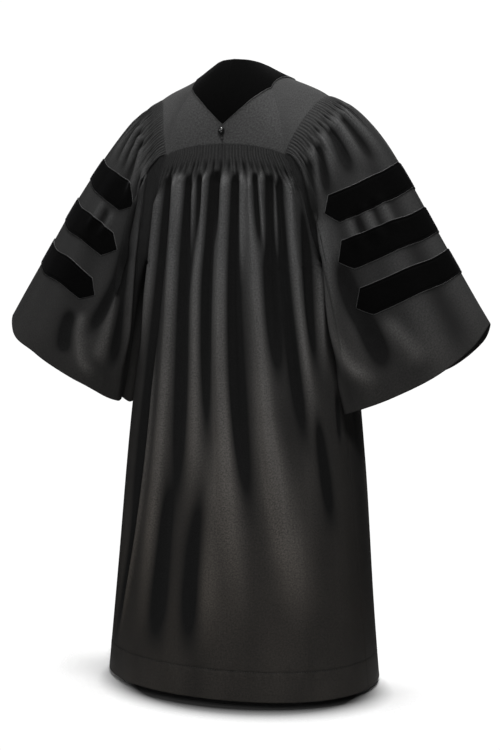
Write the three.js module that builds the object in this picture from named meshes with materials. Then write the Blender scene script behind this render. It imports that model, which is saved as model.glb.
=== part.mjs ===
// Doctoral gown, filled out as if worn: a yoke over both shoulders, velvet round the neck and down
// the fronts, a fluted back, two fronts, two bell sleeves with three velvet bars each, and the
// button and cord below the point of the velvet. +X is the wearer's left, +Y the back, +Z up.
import * as THREE from 'three';

// Driving dimensions, in millimetres. Heights are measured from the hem, and the whole gown is
// then lowered so that its origin lies between the shoulders, at the base of the neck.
const ORIGIN_HEIGHT = 1300;
const CLOTH_WALL = 1.8;
const VELVET_WALL = 2.0;
const SEAM_GAP = 0.3;
const SLEEVE_GAP = 0.4;
const LAY_GAP = 0.5;
const GOWN_HEIGHT = 1345;
const BACK_SEAM_HEIGHT = 1170;
const BACK_SEAM_DIP = 23;
const FRONT_SEAM_HEIGHT = 1150;
const UNDERARM_HEIGHT = 905;
const FACING_WIDTH = 100;
const LEAN = 0.027;
// Heights between which the folds rise below the gathers, and the span over which they die away.
const BACK_FOLDS_BELOW = 1060;
const BACK_FOLDS_ABOVE = 1140;
const FRONT_FOLDS_BELOW = 1050;
const FRONT_FOLDS_ABOVE = 1130;
const FOLD_FADE = 160;
// Shares of a panel between which its folds flatten towards the side seam, and beside the facing.
const SIDE_FREE = 0.86;
const SIDE_HELD = 0.99;
const FACING_HELD = 0.12;
// Shares just inside a border, where a surface's way is read.
const SEAM_BORDER = 0.995;
const CENTRE_BORDER = 0.01;
const YOKE_BORDER = 0.004;
const SLEEVE_HEAD_BORDER = 0.02;
const YOKE_BESIDE_ARMHOLE = 0.97;
const PANEL_BESIDE_ARMHOLE = 0.98;
const ARMHOLE_STEP = 0.006;
const YOKE_HANDLE = 0.36;
const LEAN_FROM = 980;
const LEAN_FULL = 1200;
const FACING_ROUND = 0.84;
const FLUTE_HEIGHT = 1.3;
const FLUTE_BAND = 42;

// How many flutes each gathered edge has: 46 + 2 x 7 + 2 x 56 = 172 in all.
const BACK_FLUTES = 46;
const FRONT_FLUTES = 7;
const SLEEVE_FLUTES_PER_SIDE = 28;

// Columns below the fluted bands, and the rows of each panel.
const BACK_COLUMNS = 50;
const FRONT_CLOTH_COLUMNS = 15;
const FACING_COLUMNS = 3;
const SLEEVE_COLUMNS = 40;
const BODY_HEIGHTS = [1085, 1040, 990, 945, 920, 905, 840, 740, 630, 510, 380, 250, 120, 0];
const SLEEVE_STATIONS = [0.13, 0.21, 0.3, 0.39, 0.48, 0.58, 0.68, 0.78, 0.89, 1];
const YOKE_STATIONS = [0, 0.25, 0.5, 0.75, 1];

// Half sections of the body, from the lowest up: the depth at the centre, and how squarely the
// section leaves it (flat) and comes to the side (turn).
const BACK_SECTIONS = [
  { z: 0, centreY: 233, flat: 0.56, turn: 0.62 },
  { z: 574, centreY: 189, flat: 0.56, turn: 0.66 },
  { z: 905, centreY: 163, flat: 0.6, turn: 0.8 },
  { z: 1040, centreY: 150, flat: 0.62, turn: 0.86 },
  { z: 1170, centreY: 136, flat: 0.62, turn: 0.94 },
];
const FRONT_SECTIONS = [
  { z: 0, centreY: -228, flat: 0.56, turn: 0.62 },
  { z: 574, centreY: -194, flat: 0.58, turn: 0.66 },
  { z: 905, centreY: -160, flat: 0.62, turn: 0.76 },
  { z: 1040, centreY: -141, flat: 0.62, turn: 0.84 },
  { z: 1170, centreY: -124, flat: 0.62, turn: 0.96 },
];

// The side of the body, where back and front meet below the underarm, and the way it runs there.
const SIDES = [
  { z: 0, x: 303, y: 52 },
  { z: 574, x: 248, y: 43 },
  { z: 905, x: 209, y: 28 },
  { z: 1040, x: 203, y: 18 },
  { z: 1170, x: 190, y: 10 },
];
const SIDE_HEADING = 78;

// How much of each section is left beside the armhole.
const ARMHOLE_CUT = [
  { z: 905, back: 1, front: 1 },
  { z: 920, back: 0.9, front: 0.88 },
  { z: 945, back: 0.83, front: 0.8 },
  { z: 990, back: 0.75, front: 0.71 },
  { z: 1040, back: 0.69, front: 0.64 },
  { z: 1085, back: 0.63, front: 0.58 },
  { z: 1120, back: 0.56, front: 0.53 },
  { z: 1147, back: 0.5, front: 0.5 },
];

// Neckline from the centre back (round 0) over the side of the neck to the centre front (round 1).
const NECKLINE = [
  { round: 0, x: 0, y: 62, z: 1343 },
  { round: 0.12, x: 30, y: 53, z: 1340 },
  { round: 0.3, x: 54, y: 28, z: 1331 },
  { round: 0.5, x: 64, y: -8, z: 1316 },
  { round: 0.7, x: 50, y: -58, z: 1276 },
  { round: 0.86, x: 28, y: -88, z: 1240 },
  { round: 1, x: 1, y: -104, z: 1206 },
];

// Where the yoke's outer edge turns its corners, and how steeply the yoke leaves the neck and
// reaches that edge, in degrees below level.
const ROUND_BACK_CORNER = 0.22;
const ROUND_SHOULDER = 0.5;
const ROUND_FRONT_CORNER = 0.78;
const YOKE_SLOPES = [
  { round: 0, start: 40, end: 88 },
  { round: 0.22, start: 34, end: 82 },
  { round: 0.36, start: 26, end: 50 },
  { round: 0.5, start: 22, end: 32 },
  { round: 0.64, start: 28, end: 50 },
  { round: 0.78, start: 40, end: 80 },
  { round: 1, start: 58, end: 86 },
];
const SHOULDER_POINT = { x: 190, y: 0, z: 1263 };
const YOKE_SIDE_HANDLES = { upperX: 172, upperY: 29, upperZ: 1263, lowerX: 148, lowerY: 108, lowerZ: 1200 };

// How far out the neck velvet reaches on the yoke, as a share of the yoke's width there.
const VELVET_REACH = [
  { round: 0, reach: 0.8 },
  { round: 0.05, reach: 0.64 },
  { round: 0.11, reach: 0.49 },
  { round: 0.22, reach: 0.34 },
  { round: 0.36, reach: 0.3 },
  { round: 0.5, reach: 0.36 },
  { round: 0.65, reach: 0.46 },
  { round: 0.75, reach: 0.62 },
];

// Lengthwise folds of the back, as sideways places at four heights, in millimetres from the
// centre, +X to the wearer's left. rise is positive for a ridge, negative for a hollow.
const BACK_FOLDS = [
  { top: -2, chest: -5, waist: -6, knee: -42, hem: -84, rise: 11, width: 21, lowest: 60 },
  { top: -30, chest: -37, waist: -34, knee: -66, hem: -112, rise: -8, width: 15, lowest: 260 },
  { top: 24, chest: 18, waist: 30, knee: 2, hem: -10, rise: -11, width: 15, lowest: 380 },
  { top: 52, chest: 54, waist: 56, knee: 48, hem: 60, rise: 9, width: 21, lowest: 240 },
  { top: 76, chest: 82, waist: 86, knee: 78, hem: 92, rise: -8, width: 14, lowest: 420 },
  { top: 98, chest: 104, waist: 126, knee: 132, hem: 178, rise: 9, width: 20, lowest: 0 },
  { top: 118, chest: 134, waist: 154, knee: 172, hem: 214, rise: -8, width: 14, lowest: 120 },
  { top: -62, chest: -62, waist: -101, knee: -112, hem: -176, rise: 9, width: 22, lowest: 40 },
  { top: -84, chest: -98, waist: -104, knee: -110, hem: -170, rise: 4, width: 12, lowest: 860 },
  { top: -106, chest: -113, waist: -124, knee: -150, hem: -214, rise: -8, width: 15, lowest: 420 },
  { top: -130, chest: -140, waist: -172, knee: -196, hem: -240, rise: 8, width: 17, lowest: 300 },
];

// Lengthwise folds of a front, as arc shares from the facing's edge (0) to the side (1).
const FRONT_FOLDS = [
  { top: 0.12, hem: 0.1, rise: -6, width: 0.07, lowest: 120 },
  { top: 0.3, hem: 0.26, rise: 9, width: 0.1, lowest: 0 },
  { top: 0.5, hem: 0.47, rise: -8, width: 0.08, lowest: 260 },
  { top: 0.68, hem: 0.66, rise: 8, width: 0.1, lowest: 80 },
  { top: 0.86, hem: 0.86, rise: -6, width: 0.07, lowest: 420 },
];

// Stations round half of the left sleeve, from the shoulder (round 0) by the yoke's side edge to its
// corner (round 0.32) and down to the underarm (round 0.5): how the cloth leaves the seam (straight
// on, puffed up from the panel, sagging down) and for how long, the point of the sleeve's own hem,
// the way it falls there and how long it keeps it.
const SLEEVE_HALF = [
  { round: 0, straight: 1, puff: 0.34, sag: 0, leave: 112,
    hemX: 549, hemY: 18, hemZ: 803, fallX: 0.53, fallY: 0, fallZ: -0.85, arrive: 320 },
  { round: 0.08, straight: 1, puff: 0.34, sag: 0, leave: 104,
    hemX: 524, hemY: 72, hemZ: 758, fallX: 0.5, fallY: 0.02, fallZ: -0.87, arrive: 300 },
  { round: 0.16, straight: 1, puff: 0.34, sag: 0, leave: 92,
    hemX: 458, hemY: 112, hemZ: 701, fallX: 0.43, fallY: 0.03, fallZ: -0.9, arrive: 290 },
  { round: 0.24, straight: 1, puff: 0.4, sag: 0, leave: 82,
    hemX: 368, hemY: 124, hemZ: 652, fallX: 0.34, fallY: -0.02, fallZ: -0.94, arrive: 290 },
  { round: 0.32, straight: 1, puff: 0.6, sag: 0.05, leave: 74,
    hemX: 292, hemY: 119, hemZ: 620, fallX: 0.25, fallY: -0.12, fallZ: -0.96, arrive: 270 },
  { round: 0.38, straight: 0.6, puff: 0.8, sag: 0.25, leave: 50,
    hemX: 261, hemY: 102, hemZ: 608, fallX: 0.21, fallY: -0.19, fallZ: -0.96, arrive: 240 },
  { round: 0.44, straight: 0.2, puff: 0.85, sag: 0.5, leave: 40,
    hemX: 268, hemY: 62, hemZ: 603, fallX: 0.2, fallY: -0.06, fallZ: -0.98, arrive: 180 },
  { round: 0.5, straight: 0, puff: 0.7, sag: 0.7, leave: 36,
    hemX: 281, hemY: 20, hemZ: 602, fallX: 0.22, fallY: 0, fallZ: -0.975, arrive: 140 },
];
const SLEEVE_CORNER_ROUND = 0.32;
const SLEEVE_FRONT_FLATTER = 0.86;
const SLEEVE_FRONT_CLEARANCE = 12;

// How far a sleeve is kept away from the body along its length.
const SLEEVE_CLEARANCE = [
  { down: 0, away: 0 },
  { down: 0.06, away: 5 },
  { down: 0.3, away: 13 },
  { down: 1, away: 13 },
];

// How the two sleeves hang: drop lowers the outer corner of the hem, lift raises the middle of the
// hem, and slump flattens the head.
const SLEEVE_HANGS = {
  left: { drop: 25, lift: 8, slump: 0.2 },
  right: { drop: 0, lift: 0, slump: -0.05 },
};

// Folds of a sleeve's half: ridges (+) and hollows (-) along a bowed line from (from, upper) to
// (to, lower), where from and to are rounds and upper and lower are shares of the sleeve's length.
const SLEEVE_FOLDS = [
  { from: 0.36, upper: 0.2, to: 0.25, lower: 0.95, bow: 0.05, rise: 9, width: 0.024 },
  { from: 0.31, upper: 0.28, to: 0.2, lower: 0.92, bow: 0.04, rise: -8, width: 0.022 },
  { from: 0.24, upper: 0.1, to: 0.17, lower: 0.62, bow: 0, rise: 5, width: 0.016 },
  { from: 0.2, upper: 0.12, to: 0.13, lower: 0.58, bow: 0, rise: -4, width: 0.014 },
  { from: 0.15, upper: 0.1, to: 0.1, lower: 0.5, bow: 0, rise: 4, width: 0.015 },
  { from: 0.09, upper: 0.12, to: 0.06, lower: 0.55, bow: 0, rise: -4, width: 0.014 },
  { from: 0.05, upper: 0.1, to: 0.03, lower: 0.5, bow: 0, rise: 3, width: 0.014 },
  { from: 0.16, upper: 0.72, to: 0.11, lower: 1.1, bow: 0, rise: 6, width: 0.03 },
];

// Velvet bars of each sleeve, from the upper to the lower. Top and bottom edges are shares of the
// sleeve's length, on the outer line (round 0) and halfway; the point has three corners, each at a
// round of its own. Both ends of a bar are alike.
const BAR_HALFWAY = 0.14;
const SLEEVE_BARS = {
  left: [
    { name: 'upper', outerTop: 0.304, outerEnd: 0.397, halfTop: 0.271, halfEnd: 0.376,
      topRound: 0.25, top: 0.215, tipRound: 0.3, tip: 0.26, endRound: 0.24, end: 0.337 },
    { name: 'middle', outerTop: 0.485, outerEnd: 0.584, halfTop: 0.452, halfEnd: 0.55,
      topRound: 0.248, top: 0.418, tipRound: 0.282, tip: 0.451, endRound: 0.229, end: 0.526 },
    { name: 'lower', outerTop: 0.67, outerEnd: 0.765, halfTop: 0.63, halfEnd: 0.728,
      topRound: 0.226, top: 0.619, tipRound: 0.248, tip: 0.664, endRound: 0.212, end: 0.718 },
  ],
  right: [
    { name: 'upper', outerTop: 0.363, outerEnd: 0.462, halfTop: 0.313, halfEnd: 0.41,
      topRound: 0.249, top: 0.251, tipRound: 0.28, tip: 0.288, endRound: 0.238, end: 0.359 },
    { name: 'middle', outerTop: 0.537, outerEnd: 0.632, halfTop: 0.47, halfEnd: 0.57,
      topRound: 0.249, top: 0.414, tipRound: 0.273, tip: 0.471, endRound: 0.234, end: 0.532 },
    { name: 'lower', outerTop: 0.702, outerEnd: 0.794, halfTop: 0.637, halfEnd: 0.733,
      topRound: 0.235, top: 0.6, tipRound: 0.257, tip: 0.654, endRound: 0.223, end: 0.708 },
  ],
};

// Button and cord below the point of the velvet.
const BUTTON_HEIGHT = 1197;
const BUTTON_RADIUS = 8;
const BUTTON_LENGTH = 19;
const BUTTON_AWAY = 6.95;
const CORD_RADIUS = 1.1;
const BUTTON_SIDES = 14;
const BUTTON_STEPS = 10;
const CORD_STEPS = 6;
const CORD_HEIGHTS = [1187, 1182, 1177, 1172];

const CLOTH_FINISH = { color: 0x2b2a2a, roughness: 0.5, metalness: 0 };
const YOKE_FINISH = { color: 0x343334, roughness: 0.48, metalness: 0 };
const VELVET_FINISH = { color: 0x060606, roughness: 0.95, metalness: 0 };
const BUTTON_FINISH = { color: 0x0b0b0b, roughness: 0.35, metalness: 0 };

const vec = (x, y, z) => new THREE.Vector3(x, y, z);
const { lerp, clamp, smoothstep, degToRad } = THREE.MathUtils;
const SMALL_STEP = 1e-3;
const PACE_STEPS = 24;
const GRID_STEP = 10;
const PLACE_DECIMALS = 4;
const PLACE_SPAN = 1;

/** One column of a table at a place along another, by a smooth curve through its rows. */
function read(table, along, at, column) {
  const last = table.length - 1;
  if (at <= table[0][along]) return table[0][column];
  if (at >= table[last][along]) return table[last][column];
  let row = 0;
  while (at > table[row + 1][along]) row += 1;
  const slope = (index) => {
    const before = table[Math.max(index - 1, 0)];
    const after = table[Math.min(index + 1, last)];
    return (after[column] - before[column]) / (after[along] - before[along]);
  };
  const span = table[row + 1][along] - table[row][along];
  const t = (at - table[row][along]) / span;
  const [t2, t3] = [t * t, t * t * t];
  return (2 * t3 - 3 * t2 + 1) * table[row][column]
    + (t3 - 2 * t2 + t) * span * slope(row)
    + (3 * t2 - 2 * t3) * table[row + 1][column]
    + (t3 - t2) * span * slope(row + 1);
}

/** Point of a cubic curve from its two ends and two handles. */
function cubic(start, startHandle, endHandle, end, t) {
  const r = 1 - t;
  return start.clone().multiplyScalar(r * r * r)
    .addScaledVector(startHandle, 3 * r * r * t)
    .addScaledVector(endHandle, 3 * r * t * t)
    .addScaledVector(end, t * t * t);
}

/** Soft bump that is 1 at the middle and falls to nearly nothing two widths away. */
const bump = (distance, width) => Math.exp(-((distance / width) ** 2));

/** Outward normal of a surface point(u, v), by small steps; sign turns it to the outside. */
function normalOf(surface, u, v, sign) {
  const du = surface(u + SMALL_STEP, v).sub(surface(u - SMALL_STEP, v));
  const dv = surface(u, v + SMALL_STEP).sub(surface(u, v - SMALL_STEP));
  return du.cross(dv).normalize().multiplyScalar(sign);
}

/** A gathered edge's flutes: a saw of ridge and hollow, two columns to a flute. */
const flute = (column) => (column % 2 === 0 ? -FLUTE_HEIGHT : FLUTE_HEIGHT);

// Closed walls from rows of points. A row is a list of { at, outer, inner }, ascending in `at`, and
// neighbouring rows may have different counts of points.

/** Triangles between two rows, as index pairs [row 0 or 1, column]. */
function zipRows(upper, lower) {
  const triangles = [];
  let [i, j] = [0, 0];
  while (i < upper.length - 1 || j < lower.length - 1) {
    const nextUpper = i < upper.length - 1 ? upper[i + 1].at : Infinity;
    const nextLower = j < lower.length - 1 ? lower[j + 1].at : Infinity;
    if (nextUpper <= nextLower) {
      triangles.push([[0, i], [1, j], [0, i + 1]]);
      i += 1;
    } else {
      triangles.push([[0, i], [1, j], [1, j + 1]]);
      j += 1;
    }
  }
  return triangles;
}

/** Closed solid from rows; closed rows join their last point to their first. */
function wall(rows, closed) {
  const positions = [];
  const index = [];
  const place = (point) => {
    positions.push(point.x, point.y, point.z);
    return positions.length / 3 - 1;
  };
  const numbered = rows.map((row) => {
    const columns = row.map(({ at, outer, inner }) => ({ at, outer: place(outer), inner: place(inner) }));
    return closed ? [...columns, { ...columns[0], at: columns[0].at + 1 }] : columns;
  });
  for (let r = 0; r < numbered.length - 1; r += 1) {
    const pair = [numbered[r], numbered[r + 1]];
    for (const corners of zipRows(pair[0], pair[1])) {
      const [a, b, c] = corners.map(([row, column]) => pair[row][column]);
      index.push(a.outer, b.outer, c.outer, a.inner, c.inner, b.inner);
    }
  }
  const rim = (a, b) => index.push(a.outer, b.outer, a.inner, b.outer, b.inner, a.inner);
  const first = numbered[0];
  const last = numbered[numbered.length - 1];
  for (let c = 0; c < first.length - 1; c += 1) rim(first[c], first[c + 1]);
  for (let c = 0; c < last.length - 1; c += 1) rim(last[c + 1], last[c]);
  if (!closed) {
    for (let r = 0; r < numbered.length - 1; r += 1) {
      const [upper, lower] = [numbered[r], numbered[r + 1]];
      rim(lower[0], upper[0]);
      rim(upper[upper.length - 1], lower[lower.length - 1]);
    }
  }
  return orientedGeometry(positions, index);
}

/** Geometry whose faces point outwards, whichever way the rows ran. */
function orientedGeometry(positions, index) {
  const corner = (k) => vec(positions[3 * k], positions[3 * k + 1], positions[3 * k + 2]);
  let volume = 0;
  for (let f = 0; f < index.length; f += 3) {
    volume += corner(index[f]).dot(corner(index[f + 1]).cross(corner(index[f + 2])));
  }
  const turned = [];
  for (let f = 0; f < index.length; f += 3) {
    const face = index.slice(f, f + 3);
    turned.push(...(volume < 0 ? face.reverse() : face));
  }
  const geometry = new THREE.BufferGeometry();
  geometry.setAttribute('position', new THREE.Float32BufferAttribute(positions, 3));
  geometry.setIndex(turned);
  geometry.computeVertexNormals();
  return geometry;
}

// Body.

/** How much of a section is left beside the armhole at a height; all of it below the underarm. */
const cutAt = (sections, height) => {
  const column = sections === BACK_SECTIONS ? 'back' : 'front';
  return read(ARMHOLE_CUT, 'z', height, column);
};

/** Point of the body's full section at a height; share runs from the centre (0) to the side (1). */
function fullSectionPoint(sections, share, height) {
  const at = (column) => read(sections, 'z', height, column);
  const centre = vec(0, at('centreY'), height);
  const side = vec(read(SIDES, 'z', height, 'x'), read(SIDES, 'z', height, 'y'), height);
  const towardsFront = centre.y > 0 ? 1 : -1;
  const heading = degToRad(SIDE_HEADING);
  const direction = vec(Math.cos(heading), -Math.sin(heading), 0).multiplyScalar(towardsFront);
  side.addScaledVector(direction, -SEAM_GAP / 2);
  const turnLength = at('turn') * Math.abs(centre.y - side.y);
  return cubic(
    centre,
    centre.clone().add(vec(at('flat') * side.x, 0, 0)),
    side.clone().addScaledVector(direction, -turnLength),
    side,
    share,
  );
}

/** Point of a body section at a height; share runs from the centre (0) to the seam (1 or -1). */
function sectionPoint(sections, share, height) {
  const point = fullSectionPoint(sections, Math.abs(share) * cutAt(sections, height), height);
  return share < 0 ? vec(-point.x, point.y, point.z) : point;
}

/** Height of the back's gathered seam below the yoke. */
const backSeamHeight = (share) => BACK_SEAM_HEIGHT - BACK_SEAM_DIP * share * share;

/** Sideways place of a back fold at a height. */
function backFoldPlace(fold, height) {
  const path = [
    { z: 0, x: fold.hem },
    { z: 450, x: fold.knee },
    { z: 800, x: fold.waist },
    { z: 990, x: fold.chest },
    { z: 1120, x: fold.top },
  ];
  return read(path, 'z', height, 'x');
}

/** How far the back's folds stand out of its plain form. */
function backFoldRise(x, height) {
  const start = 1 - smoothstep(height, BACK_FOLDS_BELOW, BACK_FOLDS_ABOVE);
  return BACK_FOLDS.reduce((sum, fold) => {
    const fade = smoothstep(height, fold.lowest - FOLD_FADE, fold.lowest + FOLD_FADE);
    const width = fold.width * lerp(1.9, 1, height / 1100);
    return sum + start * fade * fold.rise * bump(x - backFoldPlace(fold, height), width);
  }, 0);
}

/** Folds stand out of a panel only away from its sewn side edges. */
const edgeFree = (share) => 1 - smoothstep(Math.abs(share), SIDE_FREE, SIDE_HELD);

/** Wall point of the back. */
function backColumn(share, height, ripple) {
  const base = sectionPoint(BACK_SECTIONS, share, height);
  const normal = normalOf((u, v) => sectionPoint(BACK_SECTIONS, u, v), share * SEAM_BORDER, height, -1);
  const rise = ripple + backFoldRise(base.x, height) * edgeFree(share);
  const outer = base.addScaledVector(normal, rise);
  const at = share * cutAt(BACK_SECTIONS, height);
  return { at, outer, inner: outer.clone().addScaledVector(normal, -CLOTH_WALL) };
}

/** Even places across a panel from -width or 0 to width, cut off at the armhole. */
function cutPlaces(from, count, width) {
  const places = [];
  for (let c = 0; c <= count; c += 1) {
    const place = lerp(from, 1, c / count);
    if (Math.abs(place) < width - 0.3 / count) places.push(place / width);
  }
  return from < 0 ? [-1, ...places, 1] : [...places, 1];
}

/** Rows of the back: the fluted band first, then the open folds down to the hem. */
function backRows() {
  const rows = [];
  const fluteColumns = BACK_FLUTES * 2;
  const bandRows = [
    { below: SEAM_GAP, strength: 0.55 },
    { below: FLUTE_BAND, strength: 1 },
  ];
  for (const { below, strength } of bandRows) {
    const row = [];
    for (let c = 0; c <= fluteColumns; c += 1) {
      const share = -1 + (2 * c) / fluteColumns;
      const ends = c === 0 || c === fluteColumns ? 0 : strength;
      row.push(backColumn(share, backSeamHeight(share) - below, flute(c) * ends));
    }
    rows.push(row);
  }
  for (const height of BODY_HEIGHTS) {
    const places = cutPlaces(-1, BACK_COLUMNS, cutAt(BACK_SECTIONS, height));
    rows.push(places.map((share) => backColumn(share, height, 0)));
  }
  return rows;
}

/** Share of the front's section at which the facing ends. */
function facingShare(height) {
  let [low, high] = [0, 1];
  for (let step = 0; step < 30; step += 1) {
    const middle = (low + high) / 2;
    if (sectionPoint(FRONT_SECTIONS, middle, height).x < FACING_WIDTH) low = middle;
    else high = middle;
  }
  return low;
}

/** Wall point of the left front; part runs 0 to 1 under the facing, then 1 to 2 to the side. */
function frontColumn(part, height, ripple) {
  const facing = facingShare(height);
  const share = part <= 1 ? part * facing : lerp(facing, 1, part - 1);
  const base = sectionPoint(FRONT_SECTIONS, share, height);
  base.x = Math.max(base.x, SEAM_GAP / 2);
  const inside = Math.max(share, CENTRE_BORDER) * SEAM_BORDER;
  const normal = normalOf((u, v) => sectionPoint(FRONT_SECTIONS, u, v), inside, height, 1);
  const start = 1 - smoothstep(height, FRONT_FOLDS_BELOW, FRONT_FOLDS_ABOVE);
  const beside = 1 - smoothstep(part, 1 + SIDE_FREE, 1 + SIDE_HELD);
  const free = smoothstep(part, 1, 1 + FACING_HELD) * beside;
  const folds = FRONT_FOLDS.reduce((sum, fold) => {
    const place = 1 + lerp(fold.hem, fold.top, height / FRONT_SEAM_HEIGHT);
    const fade = smoothstep(height, fold.lowest - FOLD_FADE, fold.lowest + FOLD_FADE);
    return sum + fade * fold.rise * bump(part - place, fold.width);
  }, 0);
  const outer = base.addScaledVector(normal, ripple + start * free * folds);
  const inner = outer.clone().addScaledVector(normal, -CLOTH_WALL);
  return { at: part, place: [part, height], outer, inner, normal };
}

/** Rows of the left front, from its gathered seam to the hem. */
function frontRows() {
  const rows = [];
  const fluteColumns = FRONT_FLUTES * 2;
  const facingParts = Array.from({ length: FACING_COLUMNS }, (_, c) => c / FACING_COLUMNS);
  const bandRows = [
    { below: SEAM_GAP, strength: 0.55 },
    { below: FLUTE_BAND, strength: 1 },
  ];
  for (const { below, strength } of bandRows) {
    const row = facingParts.map((part) => frontColumn(part, FRONT_SEAM_HEIGHT - below, 0));
    for (let c = 0; c <= fluteColumns; c += 1) {
      const ends = c === 0 || c === fluteColumns ? 0 : strength;
      row.push(frontColumn(1 + c / fluteColumns, FRONT_SEAM_HEIGHT - below, flute(c) * ends));
    }
    rows.push(row);
  }
  for (const height of BODY_HEIGHTS) {
    const row = facingParts.map((part) => frontColumn(part, height, 0));
    for (let c = 0; c <= FRONT_CLOTH_COLUMNS; c += 1) {
      row.push(frontColumn(1 + c / FRONT_CLOTH_COLUMNS, height, 0));
    }
    rows.push(row);
  }
  return rows;
}

// Yoke.

/** Outer edge of the left half of the yoke, from the centre back (0) to the centre front (1). */
function yokeEdge(round) {
  if (round <= ROUND_BACK_CORNER) {
    const share = round / ROUND_BACK_CORNER;
    return sectionPoint(BACK_SECTIONS, share, backSeamHeight(share));
  }
  if (round >= ROUND_FRONT_CORNER) {
    const share = (1 - round) / (1 - ROUND_FRONT_CORNER);
    return sectionPoint(FRONT_SECTIONS, share, FRONT_SEAM_HEIGHT);
  }
  const back = round <= ROUND_SHOULDER;
  const along = back
    ? (ROUND_SHOULDER - round) / (ROUND_SHOULDER - ROUND_BACK_CORNER)
    : (round - ROUND_SHOULDER) / (ROUND_FRONT_CORNER - ROUND_SHOULDER);
  const corner = back ? yokeEdge(ROUND_BACK_CORNER) : yokeEdge(ROUND_FRONT_CORNER);
  const side = back ? 1 : -1;
  const { upperX, upperY, upperZ, lowerX, lowerY, lowerZ } = YOKE_SIDE_HANDLES;
  return cubic(
    vec(SHOULDER_POINT.x, SHOULDER_POINT.y, SHOULDER_POINT.z),
    vec(upperX, side * upperY, upperZ),
    vec(lowerX, side * lowerY, lowerZ),
    corner,
    along,
  );
}

/** Point of the left half of the yoke; out runs from the neckline (0) to the outer edge (1). */
function yokePoint(round, out) {
  const neck = vec(...['x', 'y', 'z'].map((column) => read(NECKLINE, 'round', round, column)));
  const edge = yokeEdge(round);
  const level = vec(edge.x - neck.x, edge.y - neck.y, 0).normalize();
  const handle = YOKE_HANDLE * neck.distanceTo(edge);
  const heading = (column) => {
    const slope = degToRad(read(YOKE_SLOPES, 'round', round, column));
    return level.clone().multiplyScalar(Math.cos(slope)).add(vec(0, 0, -Math.sin(slope)));
  };
  return cubic(
    neck,
    neck.clone().addScaledVector(heading('start'), handle),
    edge.clone().addScaledVector(heading('end'), -handle),
    edge,
    out,
  );
}

/** Wall point of the yoke; a negative round is on the wearer's right. */
function yokeColumn(round, out) {
  const half = Math.abs(round);
  const outer = yokePoint(half, out);
  const safeRound = clamp(half, YOKE_BORDER, 1 - YOKE_BORDER);
  const safeOut = clamp(out, YOKE_BORDER, 1 - YOKE_BORDER);
  const normal = normalOf(yokePoint, safeRound, safeOut, 1);
  if (half < YOKE_BORDER) normal.x = 0;
  if (half > 0.996) outer.x = Math.max(outer.x, SEAM_GAP / 2);
  if (round < 0) {
    outer.x *= -1;
    normal.x *= -1;
  }
  const inner = outer.clone().addScaledVector(normal, -CLOTH_WALL);
  return { at: out, place: [round, out], outer, inner, normal };
}

/** Rounds at which the yoke has its columns, with each corner of its edge among them. */
function yokeRounds() {
  const stretches = [
    { from: 0, to: ROUND_BACK_CORNER, steps: 8 },
    { from: ROUND_BACK_CORNER, to: ROUND_SHOULDER, steps: 12 },
    { from: ROUND_SHOULDER, to: ROUND_FRONT_CORNER, steps: 12 },
    { from: ROUND_FRONT_CORNER, to: 1, steps: 6 },
  ];
  const half = [];
  for (const { from, to, steps } of stretches) {
    for (let k = 0; k < steps; k += 1) half.push(lerp(from, to, k / steps));
  }
  half.push(1);
  const mirrored = half.slice(1).reverse().map((round) => -round);
  return [...mirrored, ...half];
}

/** Rows of the yoke, one for each round, from the neckline outwards. */
const yokeRows = () => yokeRounds().map((round) => YOKE_STATIONS.map((out) => yokeColumn(round, out)));

// Pieces that lie on a panel are cut from the panel's own facets and moved out.

/** Facets of a panel's outer face, from its rows. */
function facets(rows, closed) {
  const whole = closed ? rows.map((row) => [...row, { ...row[0], at: row[0].at + 1 }]) : rows;
  return whole.slice(1).flatMap((lower, r) => {
    const pair = [whole[r], lower];
    return zipRows(pair[0], pair[1]).map((corners) => corners.map(([row, column]) => pair[row][column]));
  });
}

/** Part of a facet or polygon that lies to the left of the line from start to end. */
function clip(polygon, start, end) {
  const [alongU, alongV] = [end[0] - start[0], end[1] - start[1]];
  const side = ({ place: [u, v] }) => alongU * (v - start[1]) - alongV * (u - start[0]);
  return polygon.flatMap((corner, k) => {
    const next = polygon[(k + 1) % polygon.length];
    const [here, there] = [side(corner), side(next)];
    const kept = here >= 0 ? [corner] : [];
    if (here * there >= 0) return kept;
    const t = here / (here - there);
    return [...kept, {
      place: [lerp(corner.place[0], next.place[0], t), lerp(corner.place[1], next.place[1], t)],
      outer: corner.outer.clone().lerp(next.outer, t),
      normal: corner.normal.clone().lerp(next.normal, t).normalize(),
    }];
  });
}

/** Solid cut from a panel's facets by convex regions in the panel's own places, and moved out. */
function laidPiece(panelFacets, regions) {
  const numbers = new Map();
  const points = [];
  const triangles = [];
  const numberOf = (corner) => {
    const key = corner.place.map((value) => value.toFixed(PLACE_DECIMALS)).join();
    if (!numbers.has(key)) {
      numbers.set(key, points.length);
      points.push(corner);
    }
    return numbers.get(key);
  };
  for (const region of regions) {
    for (const facet of panelFacets) {
      const across = facet.map(({ place }) => place[0]);
      if (Math.max(...across) - Math.min(...across) > 0.5 * PLACE_SPAN) continue;
      let polygon = facet;
      region.forEach((start, k) => {
        if (polygon.length) polygon = clip(polygon, start, region[(k + 1) % region.length]);
      });
      const ring = polygon.map(numberOf).filter((number, k, all) => number !== all[(k + 1) % all.length]);
      for (let k = 1; k < ring.length - 1; k += 1) {
        const triangle = [ring[0], ring[k], ring[k + 1]];
        if (new Set(triangle).size === 3) triangles.push(triangle);
      }
    }
  }
  return solidOf(points, triangles);
}

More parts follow.
